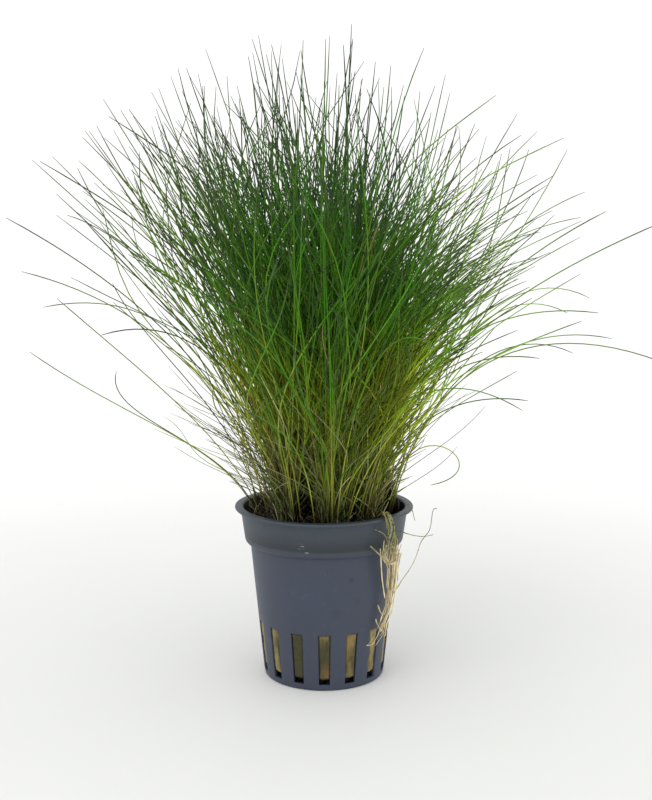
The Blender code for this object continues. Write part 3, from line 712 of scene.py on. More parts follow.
def straw_finish(settings):
    """Dead runners: pale straw with browner streaks and an olive cast near the rim."""
    skin = Finish("dry_runner", Roughness=0.7, Metallic=0.0)
    streak = skin.noise(700.0, 4.0, 0.6, (1.0, 1.0, 0.18))
    colour = skin.mix(skin.rise(streak, 0.45, 0.70), settings.dry_colour, STRAW_BROWN)
    olive = skin.rise(skin.axis("Z"), 38.0 * MM, 49.0 * MM)
    colour = skin.mix(olive * 0.85, colour, STRAW_OLIVE)
    spots = olive * skin.rise(skin.noise(1400.0, 2.0), 0.52, 0.60)
    colour = skin.mix(spots * 0.8, colour, STRAW_SPOT)
    colour = skin.mix(skin.attribute("dry"), FRESH_RUNNER_GREEN, colour)
    skin.drive("Base Color", colour * (0.70 + skin.attribute("tint") * 0.60))
    skin.drive("Roughness", 0.6 + streak * 0.25)
    skin.bump(streak, 0.5, 0.12 * MM)
    return skin.material


def root_finish():
    """Fine roots, from pale cream to brown."""
    skin = Finish("fine_roots", Roughness=0.75, Metallic=0.0)
    pale = skin.rise(skin.axis("Z"), PLUG_TOP + 1.5 * MM, PLUG_TOP + 3.5 * MM)
    colour = skin.mix(skin.attribute("tint") * (0.25 + pale * 0.75), ROOT_BROWN, ROOT_CREAM)
    skin.drive("Base Color", colour * (0.75 + skin.noise(600.0) * 0.5))
    return skin.material


def polar(radius, angle, z):
    """The point at a radius and an angle round the pot's axis."""
    return Vector((radius * math.cos(angle), radius * math.sin(angle), z))


def arc(centre, radius, start, end, steps):
    """Section points on an arc, angles in degrees from the outward direction."""
    points = []
    for i in range(steps + 1):
        angle = math.radians(start + (end - start) * i / steps)
        points.append((centre[0] + radius * math.cos(angle), centre[1] + radius * math.sin(angle)))
    return points


def line(start, end, steps):
    """Section points from start to just before end."""
    points = []
    for i in range(steps):
        share = i / steps
        points.append((start[0] + (end[0] - start[0]) * share, start[1] + (end[1] - start[1]) * share))
    return points


def smooth_line(stops, count):
    """Evenly counted points on a smooth curve through the stops, as an array."""
    stops = [np.array(stop, float) for stop in stops]
    padded = [2 * stops[0] - stops[1]] + stops + [2 * stops[-1] - stops[-2]]
    points = []
    for k in range(count):
        where = k / (count - 1) * (len(stops) - 1)
        i = min(int(where), len(stops) - 2)
        t = where - i
        a, b, c, d = padded[i:i + 4]
        bend = (2 * a - 5 * b + 4 * c - d) * t * t
        twist = (3 * b - a - 3 * c + d) * t ** 3
        points.append(0.5 * (2 * b + (c - a) * t + bend + twist))
    return np.array(points)


def add_to_scene(name, data):
    """A new object of some data, linked to the scene."""
    made = bpy.data.objects.new(name, data)
    bpy.context.scene.collection.objects.link(made)
    return made


def show(name, shape, material, slot, *nodes):
    """Put a mesh or strands in the scene, riding on the part and standing for its solids."""
    mesh = shape.mesh(name) if isinstance(shape, Strands) else shape
    mesh.materials.append(material)
    piece = add_to_scene(name, mesh)
    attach(piece, BODY)
    if nodes:
        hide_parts(*nodes)


class Strands:
    """Many thin round strands gathered into one mesh."""

    def __init__(self, sides):
        self.sides = sides
        self.points = []
        self.faces = []
        self.values = {"along": [], "tint": [], "dry": []}
        self.used = 0

    def add(self, paths, radii, tint, dry):
        """Add strands, and return all of them.

        paths is (strands, rings, 3), radii is (strands, rings), and tint and dry have one value
        for each strand or one for all.
        """
        paths = np.asarray(paths, float)
        radii = np.asarray(radii, float)
        count, rings, _ = paths.shape
        tangent = np.gradient(paths, axis=1)
        tangent /= np.linalg.norm(tangent, axis=2, keepdims=True)
        across = np.cross(tangent[:, 0], FIRST_ACROSS)
        across /= np.linalg.norm(across, axis=1, keepdims=True)
        turn = np.arange(self.sides) * 2.0 * np.pi / self.sides
        shell = np.zeros((count, rings, self.sides, 3))
        for ring in range(rings):
            along = tangent[:, ring]
            across = across - (across * along).sum(1, keepdims=True) * along
            across /= np.linalg.norm(across, axis=1, keepdims=True)
            other = np.cross(along, across)
            round_it = across[:, None] * np.cos(turn)[None, :, None]
            round_it = round_it + other[:, None] * np.sin(turn)[None, :, None]
            shell[:, ring] = paths[:, ring, None] + round_it * radii[:, ring, None, None]
        index = self.used + np.arange(count * rings * self.sides).reshape(count, rings, self.sides)
        beside = np.roll(index, -1, axis=2)
        quads = np.stack((index[:, :-1], beside[:, :-1], beside[:, 1:], index[:, 1:]), axis=-1)
        self.faces += quads.reshape(-1, 4).tolist()
        self.faces += index[:, 0, ::-1].tolist()
        self.faces += index[:, -1].tolist()
        self.points.append(shell.reshape(-1, 3))
        per_ring = np.broadcast_to(np.linspace(0.0, 1.0, rings)[None, :, None], shell.shape[:3])
        self.values["along"].append(per_ring.reshape(-1))
        for key, value in (("tint", tint), ("dry", dry)):
            spread = np.broadcast_to(np.asarray(value, float).reshape(-1, 1, 1), shell.shape[:3])
            self.values[key].append(spread.reshape(-1))
        self.used += count * rings * self.sides
        return self

    def mesh(self, name):
        """The gathered strands as one smooth mesh with its per-point values."""
        mesh = bpy.data.meshes.new(name)
        mesh.from_pydata(np.concatenate(self.points).tolist(), [], self.faces)
        for key, parts in self.values.items():
            layer = mesh.attributes.new(key, "FLOAT", "POINT")
            layer.data.foreach_set("value", np.concatenate(parts).astype(np.float32))
        mesh.shade_smooth()
        return mesh


def taper(count, rings, foot, tip):
    """Radii that run evenly from foot to tip along each strand, with a short point at the end."""
    share = np.linspace(0.0, 1.0, rings)[None, :]
    foot = np.broadcast_to(np.asarray(foot, float).reshape(-1, 1), (count, 1))
    tip = np.broadcast_to(np.asarray(tip, float).reshape(-1, 1), (count, 1))
    radii = foot + (tip - foot) * share
    radii[:, -1] *= TIP_SHARE
    return radii


def grow(feet, lean, length, first_lean, curl, droop, settle, rings, wave=0.0, late=1.0):
    """Paths of stems that leave their feet, turn outward and settle to a straight tip.

    feet is (stems, 3), lean the angle of the tip as an (x, y) vector, first_lean the share of it
    that a stem has at its foot, curl a further turn as an (x, y) vector, droop the angle that a
    tip sinks outward, settle the share of the length over which a stem turns, wave any further
    turn of each step and late the power that puts the turn off towards the tip.
    """
    size = np.linalg.norm(lean, axis=1, keepdims=True)
    out = lean / np.maximum(size, TINY)
    t = (np.arange(rings - 1) + 0.5) / (rings - 1)
    q = np.minimum(t / settle, 1.0)
    turned = (q * q * (3.0 - 2.0 * q))[None, :] ** np.broadcast_to(late, len(feet))[:, None]
    first = np.broadcast_to(np.asarray(first_lean, float), len(feet))[:, None]
    vector = lean[:, None] * (first + (1.0 - first) * turned)[..., None]
    vector = vector + curl[:, None] * turned[..., None]
    vector = vector + out[:, None] * (droop[:, None] * t[None, :] ** 2)[..., None]
    vector = vector + wave * np.minimum(t / SWAY_RISE, 1.0)[None, :, None]
    free = np.linalg.norm(vector, axis=2, keepdims=True)
    angle = WIDEST_LEAN * np.tanh(free / WIDEST_LEAN)
    steps = np.zeros((len(feet), rings, 3))
    steps[:, 1:, :2] = vector / np.maximum(free, TINY) * np.sin(angle)
    steps[:, 1:, 2:] = np.cos(angle)
    steps[:, 1:] *= length[:, None, None] / (rings - 1)
    return feet[:, None, :] + np.cumsum(steps, axis=1)


def clear_of_rim(paths):
    """Draw in each stem that would pass through the rim, keeping its heights."""
    feet = paths[:, :1, :2]
    low = paths[..., 2] < POT_HEIGHT + RIM_CLEAR_ABOVE
    reach = np.where(low, np.linalg.norm(paths[..., :2] - feet, axis=2), 0.0).max(axis=1)
    room = RIM_CLEAR_RADIUS - np.linalg.norm(feet, axis=2)[:, 0]
    share = np.minimum(1.0, np.maximum(room, LEAST_ROOM) / np.maximum(reach, TINY))
    drawn = paths.copy()
    drawn[..., :2] = feet + (paths[..., :2] - feet) * share[:, None, None]
    return drawn


def inside_box(paths):
    """Shrink each stem towards its foot until it lies inside the solids' box."""
    feet = paths[:, :1]
    low = np.array(CAD_LOW) + BOX_MARGIN
    high = np.array(CAD_HIGH) - BOX_MARGIN
    reach = paths - feet
    room = np.where(reach > 0.0, high - feet, feet - low)
    need = np.abs(reach) / np.maximum(room, TINY)
    worst = np.maximum(need.max(axis=(1, 2)), 1.0)
    return feet + reach / worst[:, None, None]


def mean_lean(settings, place):
    """Mean lean vector of the stems at places (u, v): it grows outward, most to the right."""
    reach = np.hypot(place[:, 0], place[:, 1])[:, None]
    lean = place * reach ** (settings.lean_growth - 1.0)
    lean[:, 0] *= np.where(place[:, 0] > 0.0, settings.lean_right, settings.lean_left)
    lean[:, 1] *= 0.5 * (settings.lean_right + settings.lean_left)
    lean[:, 0] += settings.lean_shift
    return lean


def on_circle(angle, radius):
    """Places (u, v) at angles and radii round the origin."""
    return np.stack((radius * np.cos(angle), radius * np.sin(angle)), axis=1)


def in_disc(rng, count):
    """Random radii and angles of places that lie evenly over the unit disc."""
    radius = np.sqrt(rng.random(count))
    return radius, rng.random(count) * 2.0 * np.pi


def scatter(rng, size, count):
    """Random vectors (x, y) about zero."""
    return rng.normal(0.0, size, (count, 2))


def clump_of(place):
    """Number of the clump that a place (u, v) belongs to: 0 in the middle, 1 and up in the ring."""
    reach = np.hypot(place[:, 0], place[:, 1])
    angle = np.arctan2(place[:, 1], place[:, 0]) - RING_START
    ring = 1 + np.floor((angle % (2.0 * np.pi)) / (2.0 * np.pi / RING_CLUMPS)).astype(int)
    return np.where(reach < MIDDLE_REACH, 0, ring)


def clump_places(rng, clump, count):
    """Random places (u, v) of one clump in the unit disc."""
    kept = np.zeros((0, 2))
    while len(kept) < count:
        radius, angle = in_disc(rng, 4 * count)
        place = on_circle(angle, radius)
        kept = np.concatenate((kept, place[clump_of(place) == clump]))
    return kept[:count]


def feet_at(settings, place):
    """Feet of stems at places (u, v) of the unit disc, drawn in towards the nearest plantlet."""
    feet = np.zeros((len(place), 3))
    feet[:, :2] = place * FOOT_RADIUS
    feet[:, 0] += FOOT_SHIFT
    centres = np.array(PLANTLETS) * MM
    away = np.linalg.norm(feet[:, None, :2] - centres[None], axis=2)
    nearest = centres[np.argmin(away, axis=1)]
    feet[:, :2] = nearest + (feet[:, :2] - nearest) * settings.plantlet_size
    feet[:, 2] = FOOT_Z
    return feet


def sway(rng, size, count, rings):
    """Slow random bends of stems to and fro: a turn of every step, as (x, y) vectors."""
    t = (np.arange(rings - 1) + 0.5) / (rings - 1)
    pace = rng.uniform(0.5, 1.2, (count, 1, 2))
    phase = rng.uniform(0.0, 2.0 * np.pi, (count, 1, 2))
    size = rng.normal(0.0, size, (count, 1, 2))
    return size * np.sin(2.0 * np.pi * pace * t[None, :, None] + phase)


def clump_stems(settings, clump):
    """The stems of one clump, long and short, fresh and dead, in tufts that fan out."""
    rng = np.random.default_rng(CLUMP_SEED + clump)
    tufts = settings.tufts_in_ring_clump if clump else settings.tufts_in_middle_clump
    place = clump_places(rng, clump, tufts)
    lean = mean_lean(settings, place) + scatter(rng, settings.tuft_scatter, tufts)
    place = np.repeat(place, settings.stems_in_tuft, axis=0)
    lean = np.repeat(lean, settings.stems_in_tuft, axis=0)
    count = len(place)
    feet = feet_at(settings, place)
    feet[:, :2] += scatter(rng, settings.tuft_radius, count)
    lean = lean + scatter(rng, settings.stem_scatter, count)
    lean[:, 0] *= np.where(rng.random(count) < settings.crossing_share, CROSSING_LEAN, 1.0)
    unit = rng.normal(0.0, 1.0, count)
    lean[:, 0] -= settings.tall_tilt * unit
    length = settings.mean_length + settings.length_scatter * unit
    short = rng.random(count) < settings.short_share
    length = np.where(short, length * rng.uniform(*SHORT_LENGTHS, count), length)
    length *= 1.0 - settings.right_shorter * np.sin(np.pi * np.clip(place[:, 0], 0.0, 1.0))
    dry = (rng.random(count) < DEAD_SHARE).astype(float)
    length = np.where(dry > 0.0, length * rng.uniform(*DEAD_LENGTHS, count), length)
    length = np.clip(length, LEAST_LENGTH * settings.mean_length, settings.longest)
    curl = scatter(rng, settings.curl, count)
    to_right = np.maximum(place[:, 0], 0.0)
    first = rng.uniform(-0.2, 0.3, count) * (1.0 - settings.right_upright * to_right)
    first += settings.left_early * np.maximum(-place[:, 0], 0.0)
    paths = grow(feet, lean, length, first, curl, rng.normal(-0.03, 0.12, count), settings.settle,
                 STEM_RINGS, sway(rng, settings.sway, count, STEM_RINGS),
                 1.0 + settings.right_arch * to_right)
    thick = rng.uniform(0.7, 1.4, count) * (1.0 - 0.35 * dry)
    radii = taper(count, STEM_RINGS, settings.foot_radius * thick, settings.tip_radius * thick ** 0.5)
    return Strands(STEM_SIDES).add(inside_box(clear_of_rim(paths)), radii, rng.random(count), dry)


def young_shoots(settings, clump):
    """Short shoots and broken ends low in a clump, leaning every way, as Strands.add takes them."""
    rng = np.random.default_rng(SHOOT_SEED + clump)
    count = YOUNG_SHOOTS
    place = clump_places(rng, clump, count)
    lean = 0.7 * mean_lean(settings, place) + scatter(rng, 0.25, count)
    length = rng.uniform(*YOUNG_LENGTHS_MM, count) * MM
    paths = grow(feet_at(settings, place), lean, length, rng.uniform(0.0, 0.6, count),
                 scatter(rng, 0.35, count), rng.normal(0.1, 0.3, count), 1.0, SHOOT_RINGS)
    radii = taper(count, SHOOT_RINGS, settings.foot_radius * 0.85, settings.tip_radius)
    dry = (rng.random(count) < YOUNG_DEAD_SHARE) * rng.uniform(0.4, 1.0, count)
    return clear_of_rim(paths), radii, rng.random(count), dry


def stray_stems(settings):
    """Fine dark stems that cross in front of the foot or lean out over the rim."""
    rng = np.random.default_rng(STRAY_SEED)
    count, rings = STRAY_STEMS, STRAY_RINGS
    turn = rng.uniform(0.0, 2.0 * np.pi, count)
    place = on_circle(turn, rng.uniform(0.6, 1.25, count))
    aim = turn + rng.normal(0.0, 1.4, count)
    lean = on_circle(aim, rng.uniform(0.4, 1.8, count))
    lean[:, 0] *= np.where(lean[:, 0] > 0.0, STRAY_RIGHT, 1.0)
    length = rng.uniform(*STRAY_LENGTHS_MM, count) * MM
    paths = grow(feet_at(settings, place), lean, length, rng.uniform(-0.1, 0.5, count),
                 scatter(rng, 0.5, count), rng.normal(0.2, 0.3, count), 0.8, rings,
                 sway(rng, 1.3 * settings.sway, count, rings))
    radii = taper(count, rings, rng.uniform(0.09, 0.15, count) * MM, 0.08 * MM)
    return Strands(STEM_SIDES).add(inside_box(clear_of_rim(paths)), radii, rng.random(count),
                                   rng.random(count) < STRAY_DEAD_SHARE)


def old_sheaths(settings):
    """Short brown sheaths and dead stumps that fill the foot of the grass."""
    rng = np.random.default_rng(SHEATH_SEED)
    count, rings = SHEATHS, SHEATH_RINGS
    radius, angle = in_disc(rng, count)
    place = on_circle(angle, radius)
    lean = 0.5 * mean_lean(settings, place) + scatter(rng, 0.35, count)
    length = rng.uniform(*SHEATH_LENGTHS_MM, count) * (1.15 - 0.6 * radius) * MM
    paths = grow(feet_at(settings, place), lean, length, 0.8, scatter(rng, 0.4, count),
                 rng.normal(0.0, 0.3, count), 1.0, rings)
    radii = taper(count, rings, rng.uniform(0.2, 0.42, count) * MM, 0.12 * MM)
    return Strands(FINE_SIDES).add(clear_of_rim(paths), radii, rng.random(count), 0.0)


def bezier(handles, count):
    """Points on a cubic curve given by its two ends and two handles."""
    t = np.linspace(0.0, 1.0, count)[:, None]
    a, b, c, d = (np.array(h, float) for h in handles)
    s = 1.0 - t
    return a * s ** 3 + 3.0 * b * s * s * t + 3.0 * c * s * t * t + d * t ** 3


def leader_stems(settings):
    """The single stems that stand out of the thick of the grass, each to its own tip."""
    rng = np.random.default_rng(LEADER_SEED)
    strands = Strands(LONG_STEM_SIDES)
    level = (1.0, 1.0, 0.0)
    for tip in np.array(LEADERS) * MM:
        place = tip[None, :2] / max(math.hypot(tip[0], tip[1]), LEADER_SPREAD)
        foot = feet_at(settings, place * rng.uniform(0.2, 0.9))[0]
        reach = tip - foot
        first = foot + reach * (0.08, 0.08, 0.36) + rng.normal(0.0, 4.0 * MM, 3) * level
        turn = rng.uniform(0.7, 1.25)
        last = tip - reach * (0.45 * turn, 0.45 * turn, 0.36)
        last = last + rng.normal(0.0, 3.0 * MM, 3) * level
        path = bezier((foot, first, last, tip), LEADER_RINGS)[None]
        thick = rng.uniform(0.85, 1.15)
        radii = taper(1, LEADER_RINGS, settings.foot_radius * thick, settings.tip_radius * thick)
        strands.add(path, radii, rng.uniform(0.0, 0.8, 1), 0.0)
    return strands


def long_stem_path(base_degrees, tip_mm, rise_mm, climb_mm, pull):
    """Path of an outlying stem: up from the plug, then out to its tip."""
    base = np.array(polar(STEM_FOOT_RADIUS, math.radians(base_degrees), FOOT_Z))
    tip = np.array(tip_mm) * MM
    reach = np.array([tip[0] - base[0], tip[1] - base[1], 0.0])
    first = base + reach * STEM_EARLY_LEAN + np.array([0.0, 0.0, rise_mm * MM])
    last = tip - reach * pull - np.array([0.0, 0.0, climb_mm * MM])
    return bezier((base, first, last, tip), LONG_STEM_RINGS)


def varied(shape, rng):
    """A shorter neighbour of an outlying stem, with its own base and tip."""
    base_degrees, tip_mm, rise_mm, climb_mm, pull = shape
    base = np.array(polar(STEM_FOOT_RADIUS, math.radians(base_degrees), PLUG_TOP)) / MM
    share = rng.uniform(0.62, 0.98)
    tip = base + (np.array(tip_mm) - base) * share + rng.normal(0.0, 5.0, 3)
    turn = base_degrees + rng.uniform(-9.0, 9.0)
    return turn, tuple(tip), rise_mm * share * rng.uniform(0.8, 1.15), climb_mm * share, pull


def long_stems(settings, side, rng):
    """The outlying stems of one side of the plant with their neighbours."""
    strands = Strands(LONG_STEM_SIDES)
    for shape in LONG_STEMS[side]:
        companions = COMPANIONS[side] if shape[1][2] > COMPANION_TIP_ABOVE_MM else 0
        for k in range(companions + 1):
            path = long_stem_path(*(varied(shape, rng) if k else shape))[None]
            radii = taper(1, LONG_STEM_RINGS, settings.foot_radius, settings.tip_radius)
            strands.add(path, radii, rng.uniform(0.0, 0.8, 1), 0.0)
    return strands


def turned_mesh(rows, angles, hole):
    """A closed surface of rows of (radius, height) turned about the axis, and its grid of points.

    angles gives the angle of every column at every row. The rows start and end on the axis, and
    hole says whether a column's face between two rows is left open.
    """
    bm = bmesh.new()
    columns = len(angles[0])
    grid = []
    for (radius, height), turns in zip(rows, angles):
        if radius < ON_AXIS:
            grid.append([bm.verts.new((0.0, 0.0, height))] * columns)
        else:
            grid.append([bm.verts.new(polar(radius, angle, height)) for angle in turns])
    for i in range(len(rows) - 1):
        for j in range(columns):
            if not hole(i, j):
                n = (j + 1) % columns
                ring = (grid[i][j], grid[i][n], grid[i + 1][n], grid[i + 1][j])
                bm.faces.new(list(dict.fromkeys(ring)))
    return bm, grid


def finish_mesh(bm, name, sharp_degrees=SHARP_DEGREES):
    """Mesh from a bmesh, with its faces out and shaded smooth up to an angle."""
    bmesh.ops.recalc_face_normals(bm, faces=bm.faces)
    mesh = bpy.data.meshes.new(name)
    bm.to_mesh(mesh)
    bm.free()
    mesh.shade_smooth()
    mesh.set_sharp_from_angle(angle=math.radians(sharp_degrees))
    return mesh


def body_radius(z):
    """Outer radius of the pot's tapered body at a height."""
    return BASE_RADIUS + (BODY_TOP_RADIUS - BASE_RADIUS) * z / BODY_TOP_Z


def pot_rows():
    """Rows of the pot's section, and the row numbers where slots and drains open."""
    lip = (LIP_RADIUS - LIP_HALF, POT_HEIGHT - LIP_HALF)
    rows = [(0.0, 0.0), (0.5 * DRAIN_INNER, 0.0)]
    marks = {"drain_low": (len(rows), len(rows) + 3)}
    rows += line((DRAIN_INNER, 0.0), (DRAIN_OUTER, 0.0), 3) + [(DRAIN_OUTER, 0.0)]
    rows += arc((BASE_RADIUS - BASE_ROUND, BASE_ROUND), BASE_ROUND, -90, 0, 4)
    marks["slot_out"] = (len(rows), len(rows) + SLOT_ROWS)
    foot = (body_radius(SLOT_FOOT_Z), SLOT_FOOT_Z)
    head = (body_radius(SLOT_TOP_Z), SLOT_TOP_Z)
    rows += line(foot, head, SLOT_ROWS) + [head]
    rows += line(head, (BODY_TOP_RADIUS, BODY_TOP_Z), 8)[1:]
    rows += [(BODY_TOP_RADIUS, BODY_TOP_Z), (BODY_TOP_RADIUS, BODY_TOP_Z + 0.25 * MM)]
    shoulder = COLLAR_FOOT_RADIUS - BODY_TOP_RADIUS
    rows += arc((BODY_TOP_RADIUS, COLLAR_FOOT_Z), shoulder, -80, 0, 6)
    under_lip = POT_HEIGHT - 2.0 * LIP_HALF
    fillet = 0.5 * MM
    rows += line((COLLAR_FOOT_RADIUS, COLLAR_FOOT_Z), (COLLAR_TOP_RADIUS, under_lip - fillet), 5)[1:]
    rows += arc((COLLAR_TOP_RADIUS + fillet, under_lip - fillet), fillet, 180, 90, 3)
    rows += arc(lip, LIP_HALF, -90, 90, 10)
    rows += arc((COLLAR_TOP_RADIUS, POT_HEIGHT - WALL), WALL, 90, 180, 4)
    rows += line((COLLAR_TOP_RADIUS - WALL, POT_HEIGHT - WALL),
                 (COLLAR_FOOT_RADIUS - WALL, COLLAR_FOOT_Z + WALL), 4)[1:]
    rows += [(COLLAR_FOOT_RADIUS - WALL, COLLAR_FOOT_Z + WALL)]
    inner_head = (head[0] - WALL, SLOT_TOP_Z)
    rows += line((BODY_TOP_RADIUS - WALL, BODY_TOP_Z), inner_head, 4)
    marks["slot_in"] = (len(rows), len(rows) + SLOT_ROWS)
    inner_foot = (foot[0] - WALL, SLOT_FOOT_Z)
    rows += line(inner_head, inner_foot, SLOT_ROWS) + [inner_foot]
    rows += [(body_radius(FLOOR) - WALL, FLOOR)]
    marks["drain_high"] = (len(rows), len(rows) + 3)
    rows += line((DRAIN_OUTER, FLOOR), (DRAIN_INNER, FLOOR), 3) + [(DRAIN_INNER, FLOOR)]
    rows += [(0.5 * DRAIN_INNER, FLOOR), (0.0, FLOOR)]
    return rows, marks


def opening_half_angle(radius, height, marks, row):
    """Half the angle that an opening takes at a row of the section."""
    low, high = marks["drain_low"]
    if low <= row <= high or marks["drain_high"][0] <= row <= marks["drain_high"][1]:
        return 0.5 * DRAIN_WIDTH / radius
    share = min(max((height - SLOT_FOOT_Z) / (SLOT_TOP_Z - SLOT_FOOT_Z), 0.0), 1.0)
    width = SLOT_FOOT_WIDTH + (SLOT_TOP_WIDTH - SLOT_FOOT_WIDTH) * share
    return 0.5 * width / max(body_radius(max(height, 0.0)), BASE_RADIUS)


def pot_angles(settings, rows, marks):
    """The angle of every column at every row: slots and ribs keep their own columns."""
    in_slot = settings.segments_in_slot
    in_rib = settings.segments_in_rib
    pitch = 2.0 * math.pi / SLOT_COUNT
    table = []
    for row, (radius, height) in enumerate(rows):
        half = opening_half_angle(max(radius, MM), height, marks, row)
        turns = []
        for slot in range(SLOT_COUNT):
            middle = FIRST_SLOT + slot * pitch
            turns += [middle - half + 2.0 * half * k / in_slot for k in range(in_slot)]
            rib = pitch - 2.0 * half
            turns += [middle + half + rib * k / in_rib for k in range(in_rib)]
        table.append(turns)
    return table


def wall_up(bm, grid, outer, inner, first, last):
    """Close one opening between its outer and inner rims, and return its rim edges."""
    total = len(grid[0])
    outer_rows = range(outer[0], outer[1] + 1)
    inner_rows = range(inner[1], inner[0] - 1, -1)
    rims = []
    for column in (first % total, last % total):
        near = [grid[i][column] for i in outer_rows]
        far = [grid[i][column] for i in inner_rows]
        for k in range(len(near) - 1):
            bm.faces.new((near[k], near[k + 1], far[k + 1], far[k]))
            rims += [(near[k], near[k + 1]), (far[k], far[k + 1])]
    for near_row, far_row in ((outer[0], inner[1]), (outer[1], inner[0])):
        for column in range(first, last):
            a, b = column % total, (column + 1) % total
            bm.faces.new((grid[near_row][a], grid[near_row][b], grid[far_row][b], grid[far_row][a]))
            rims += [(grid[near_row][a], grid[near_row][b]), (grid[far_row][a], grid[far_row][b])]
    return [bm.edges.get(pair) for pair in rims]


def uneven(settings, point):
    """Pull a point of the collar or the lip a little out of true, more towards the top."""
    lift = (point.z - COLLAR_FOOT_Z) / (POT_HEIGHT - COLLAR_FOOT_Z)
    radius = math.hypot(point.x, point.y)
    if lift <= 0.0 or radius < MM:
        return
    turn = math.atan2(point.y, point.x)
    wave = math.sin(2.0 * turn + 0.6) * 0.5 + math.sin(5.0 * turn + 2.0) * 0.3
    wave += math.sin(9.0 * turn + 4.0) * 0.2
    pull = 1.0 - settings.unevenness * lift * (1.0 - wave) * 0.5 / radius
    point.x *= pull
    point.y *= pull
    point.z -= settings.unevenness * lift * (1.0 + math.sin(3.0 * turn + 1.0)) * 0.4


def pot_mesh(settings):
    """The net pot, turned, slotted and with every slot edge rounded."""
    rows, marks = pot_rows()
    in_slot = settings.segments_in_slot
    period = in_slot + settings.segments_in_rib

    def open_at(i, j):
        slot_here = j % period < in_slot
        drain_here = slot_here and (j // period) % DRAIN_EVERY == 0
        at_slot = any(marks[k][0] <= i < marks[k][1] for k in ("slot_out", "slot_in"))
        at_drain = any(marks[k][0] <= i < marks[k][1] for k in ("drain_low", "drain_high"))
        return (at_slot and slot_here) or (at_drain and drain_here)

    bm, grid = turned_mesh(rows, pot_angles(settings, rows, marks), open_at)
    rims = []
    for slot in range(SLOT_COUNT):
        span = (slot * period, slot * period + in_slot)
        rims += wall_up(bm, grid, marks["slot_out"], marks["slot_in"], *span)
        if slot % DRAIN_EVERY == 0:
            rims += wall_up(bm, grid, marks["drain_low"], marks["drain_high"], *span)
    bmesh.ops.recalc_face_normals(bm, faces=bm.faces)
    edges = list(dict.fromkeys(edge for edge in rims if edge is not None))
    bmesh.ops.bevel(bm, geom=edges, offset=settings.edge_round, segments=2, affect="EDGES",
                    profile=0.5, clamp_overlap=True)
    for vert in bm.verts:
        uneven(settings, vert.co)
    return finish_mesh(bm, "net_pot_shell")


def slot_swell(settings, point):
    """How far the wool swells into the wall's slots at a point on the plug's side."""
    pitch = 2.0 * math.pi / SLOT_COUNT
    turn = (math.atan2(point.y, point.x) - FIRST_SLOT + 0.5 * pitch) % pitch - 0.5 * pitch
    share = (point.z - SLOT_FOOT_Z) / (SLOT_TOP_Z - SLOT_FOOT_Z)
    half = 0.5 * (SLOT_FOOT_WIDTH + (SLOT_TOP_WIDTH - SLOT_FOOT_WIDTH) * share)
    from_side = half - abs(turn) * body_radius(point.z)
    from_end = min(SLOT_TOP_Z - point.z, point.z - SLOT_FOOT_Z - 1.2 * MM)
    inside = min(max(min(from_side, from_end) / settings.swell_edge, 0.0), 1.0)
    return settings.swell * inside ** 0.5


def roughness(point, pace):
    """Uneven noise about zero at a point; a larger pace makes it finer."""
    return noise.fractal(point * pace, 0.8, 2.0, 4)


def plug_rows():
    """Rows of the plug's section, from the axis at its foot to the axis at its top."""
    def beside_wall(z):
        return body_radius(z) - WALL - PLUG_CLEARANCE, z

    foot = (PLUG_FOOT_RADIUS, PLUG_LOW.z)
    shoulder = beside_wall(PLUG_SHOULDER_Z)
    slot_head = beside_wall(SLOT_TOP_Z + MM)
    neck = beside_wall(BODY_TOP_Z)
    top = (neck[0], PLUG_TOP - PLUG_ROUND)
    flat = (top[0] - PLUG_ROUND, PLUG_TOP)
    rows = [(0.0, PLUG_LOW.z)]
    rows += line((0.5 * PLUG_FOOT_RADIUS, PLUG_LOW.z), foot, 4)
    rows += line(foot, shoulder, 4)
    rows += line(shoulder, slot_head, 50) + line(slot_head, neck, 30)
    rows += line(neck, top, 6)
    rows += arc((flat[0], top[1]), PLUG_ROUND, 0, 90, 4)
    rows += line(flat, (0.0, PLUG_TOP), 12)[1:]
    return rows + [(0.0, PLUG_TOP)]


def plug_mesh(settings):
    """The wool plug with a torn, fibrous surface that swells into the slots."""
    rows = plug_rows()
    turns = [2.0 * math.pi * j / PLUG_COLUMNS for j in range(PLUG_COLUMNS)]
    bm, _ = turned_mesh(rows, [turns] * len(rows), lambda i, j: False)
    for vert in bm.verts:
        radius = math.hypot(vert.co.x, vert.co.y)
        if radius < MM:
            continue
        rough = roughness(vert.co, 700.0)
        dent = min(0.0, rough * 0.8 - 0.1) * settings.fray
        pull = 1.0 + (dent + slot_swell(settings, vert.co)) / radius
        vert.co.x *= pull
        vert.co.y *= pull
        if vert.co.z > PLUG_TOP - 0.1 * MM:
            vert.co.z += min(0.0, roughness(vert.co, 260.0) - 0.2) * 1.2 * MM
    return finish_mesh(bm, "rock_wool", NEVER_SHARP)


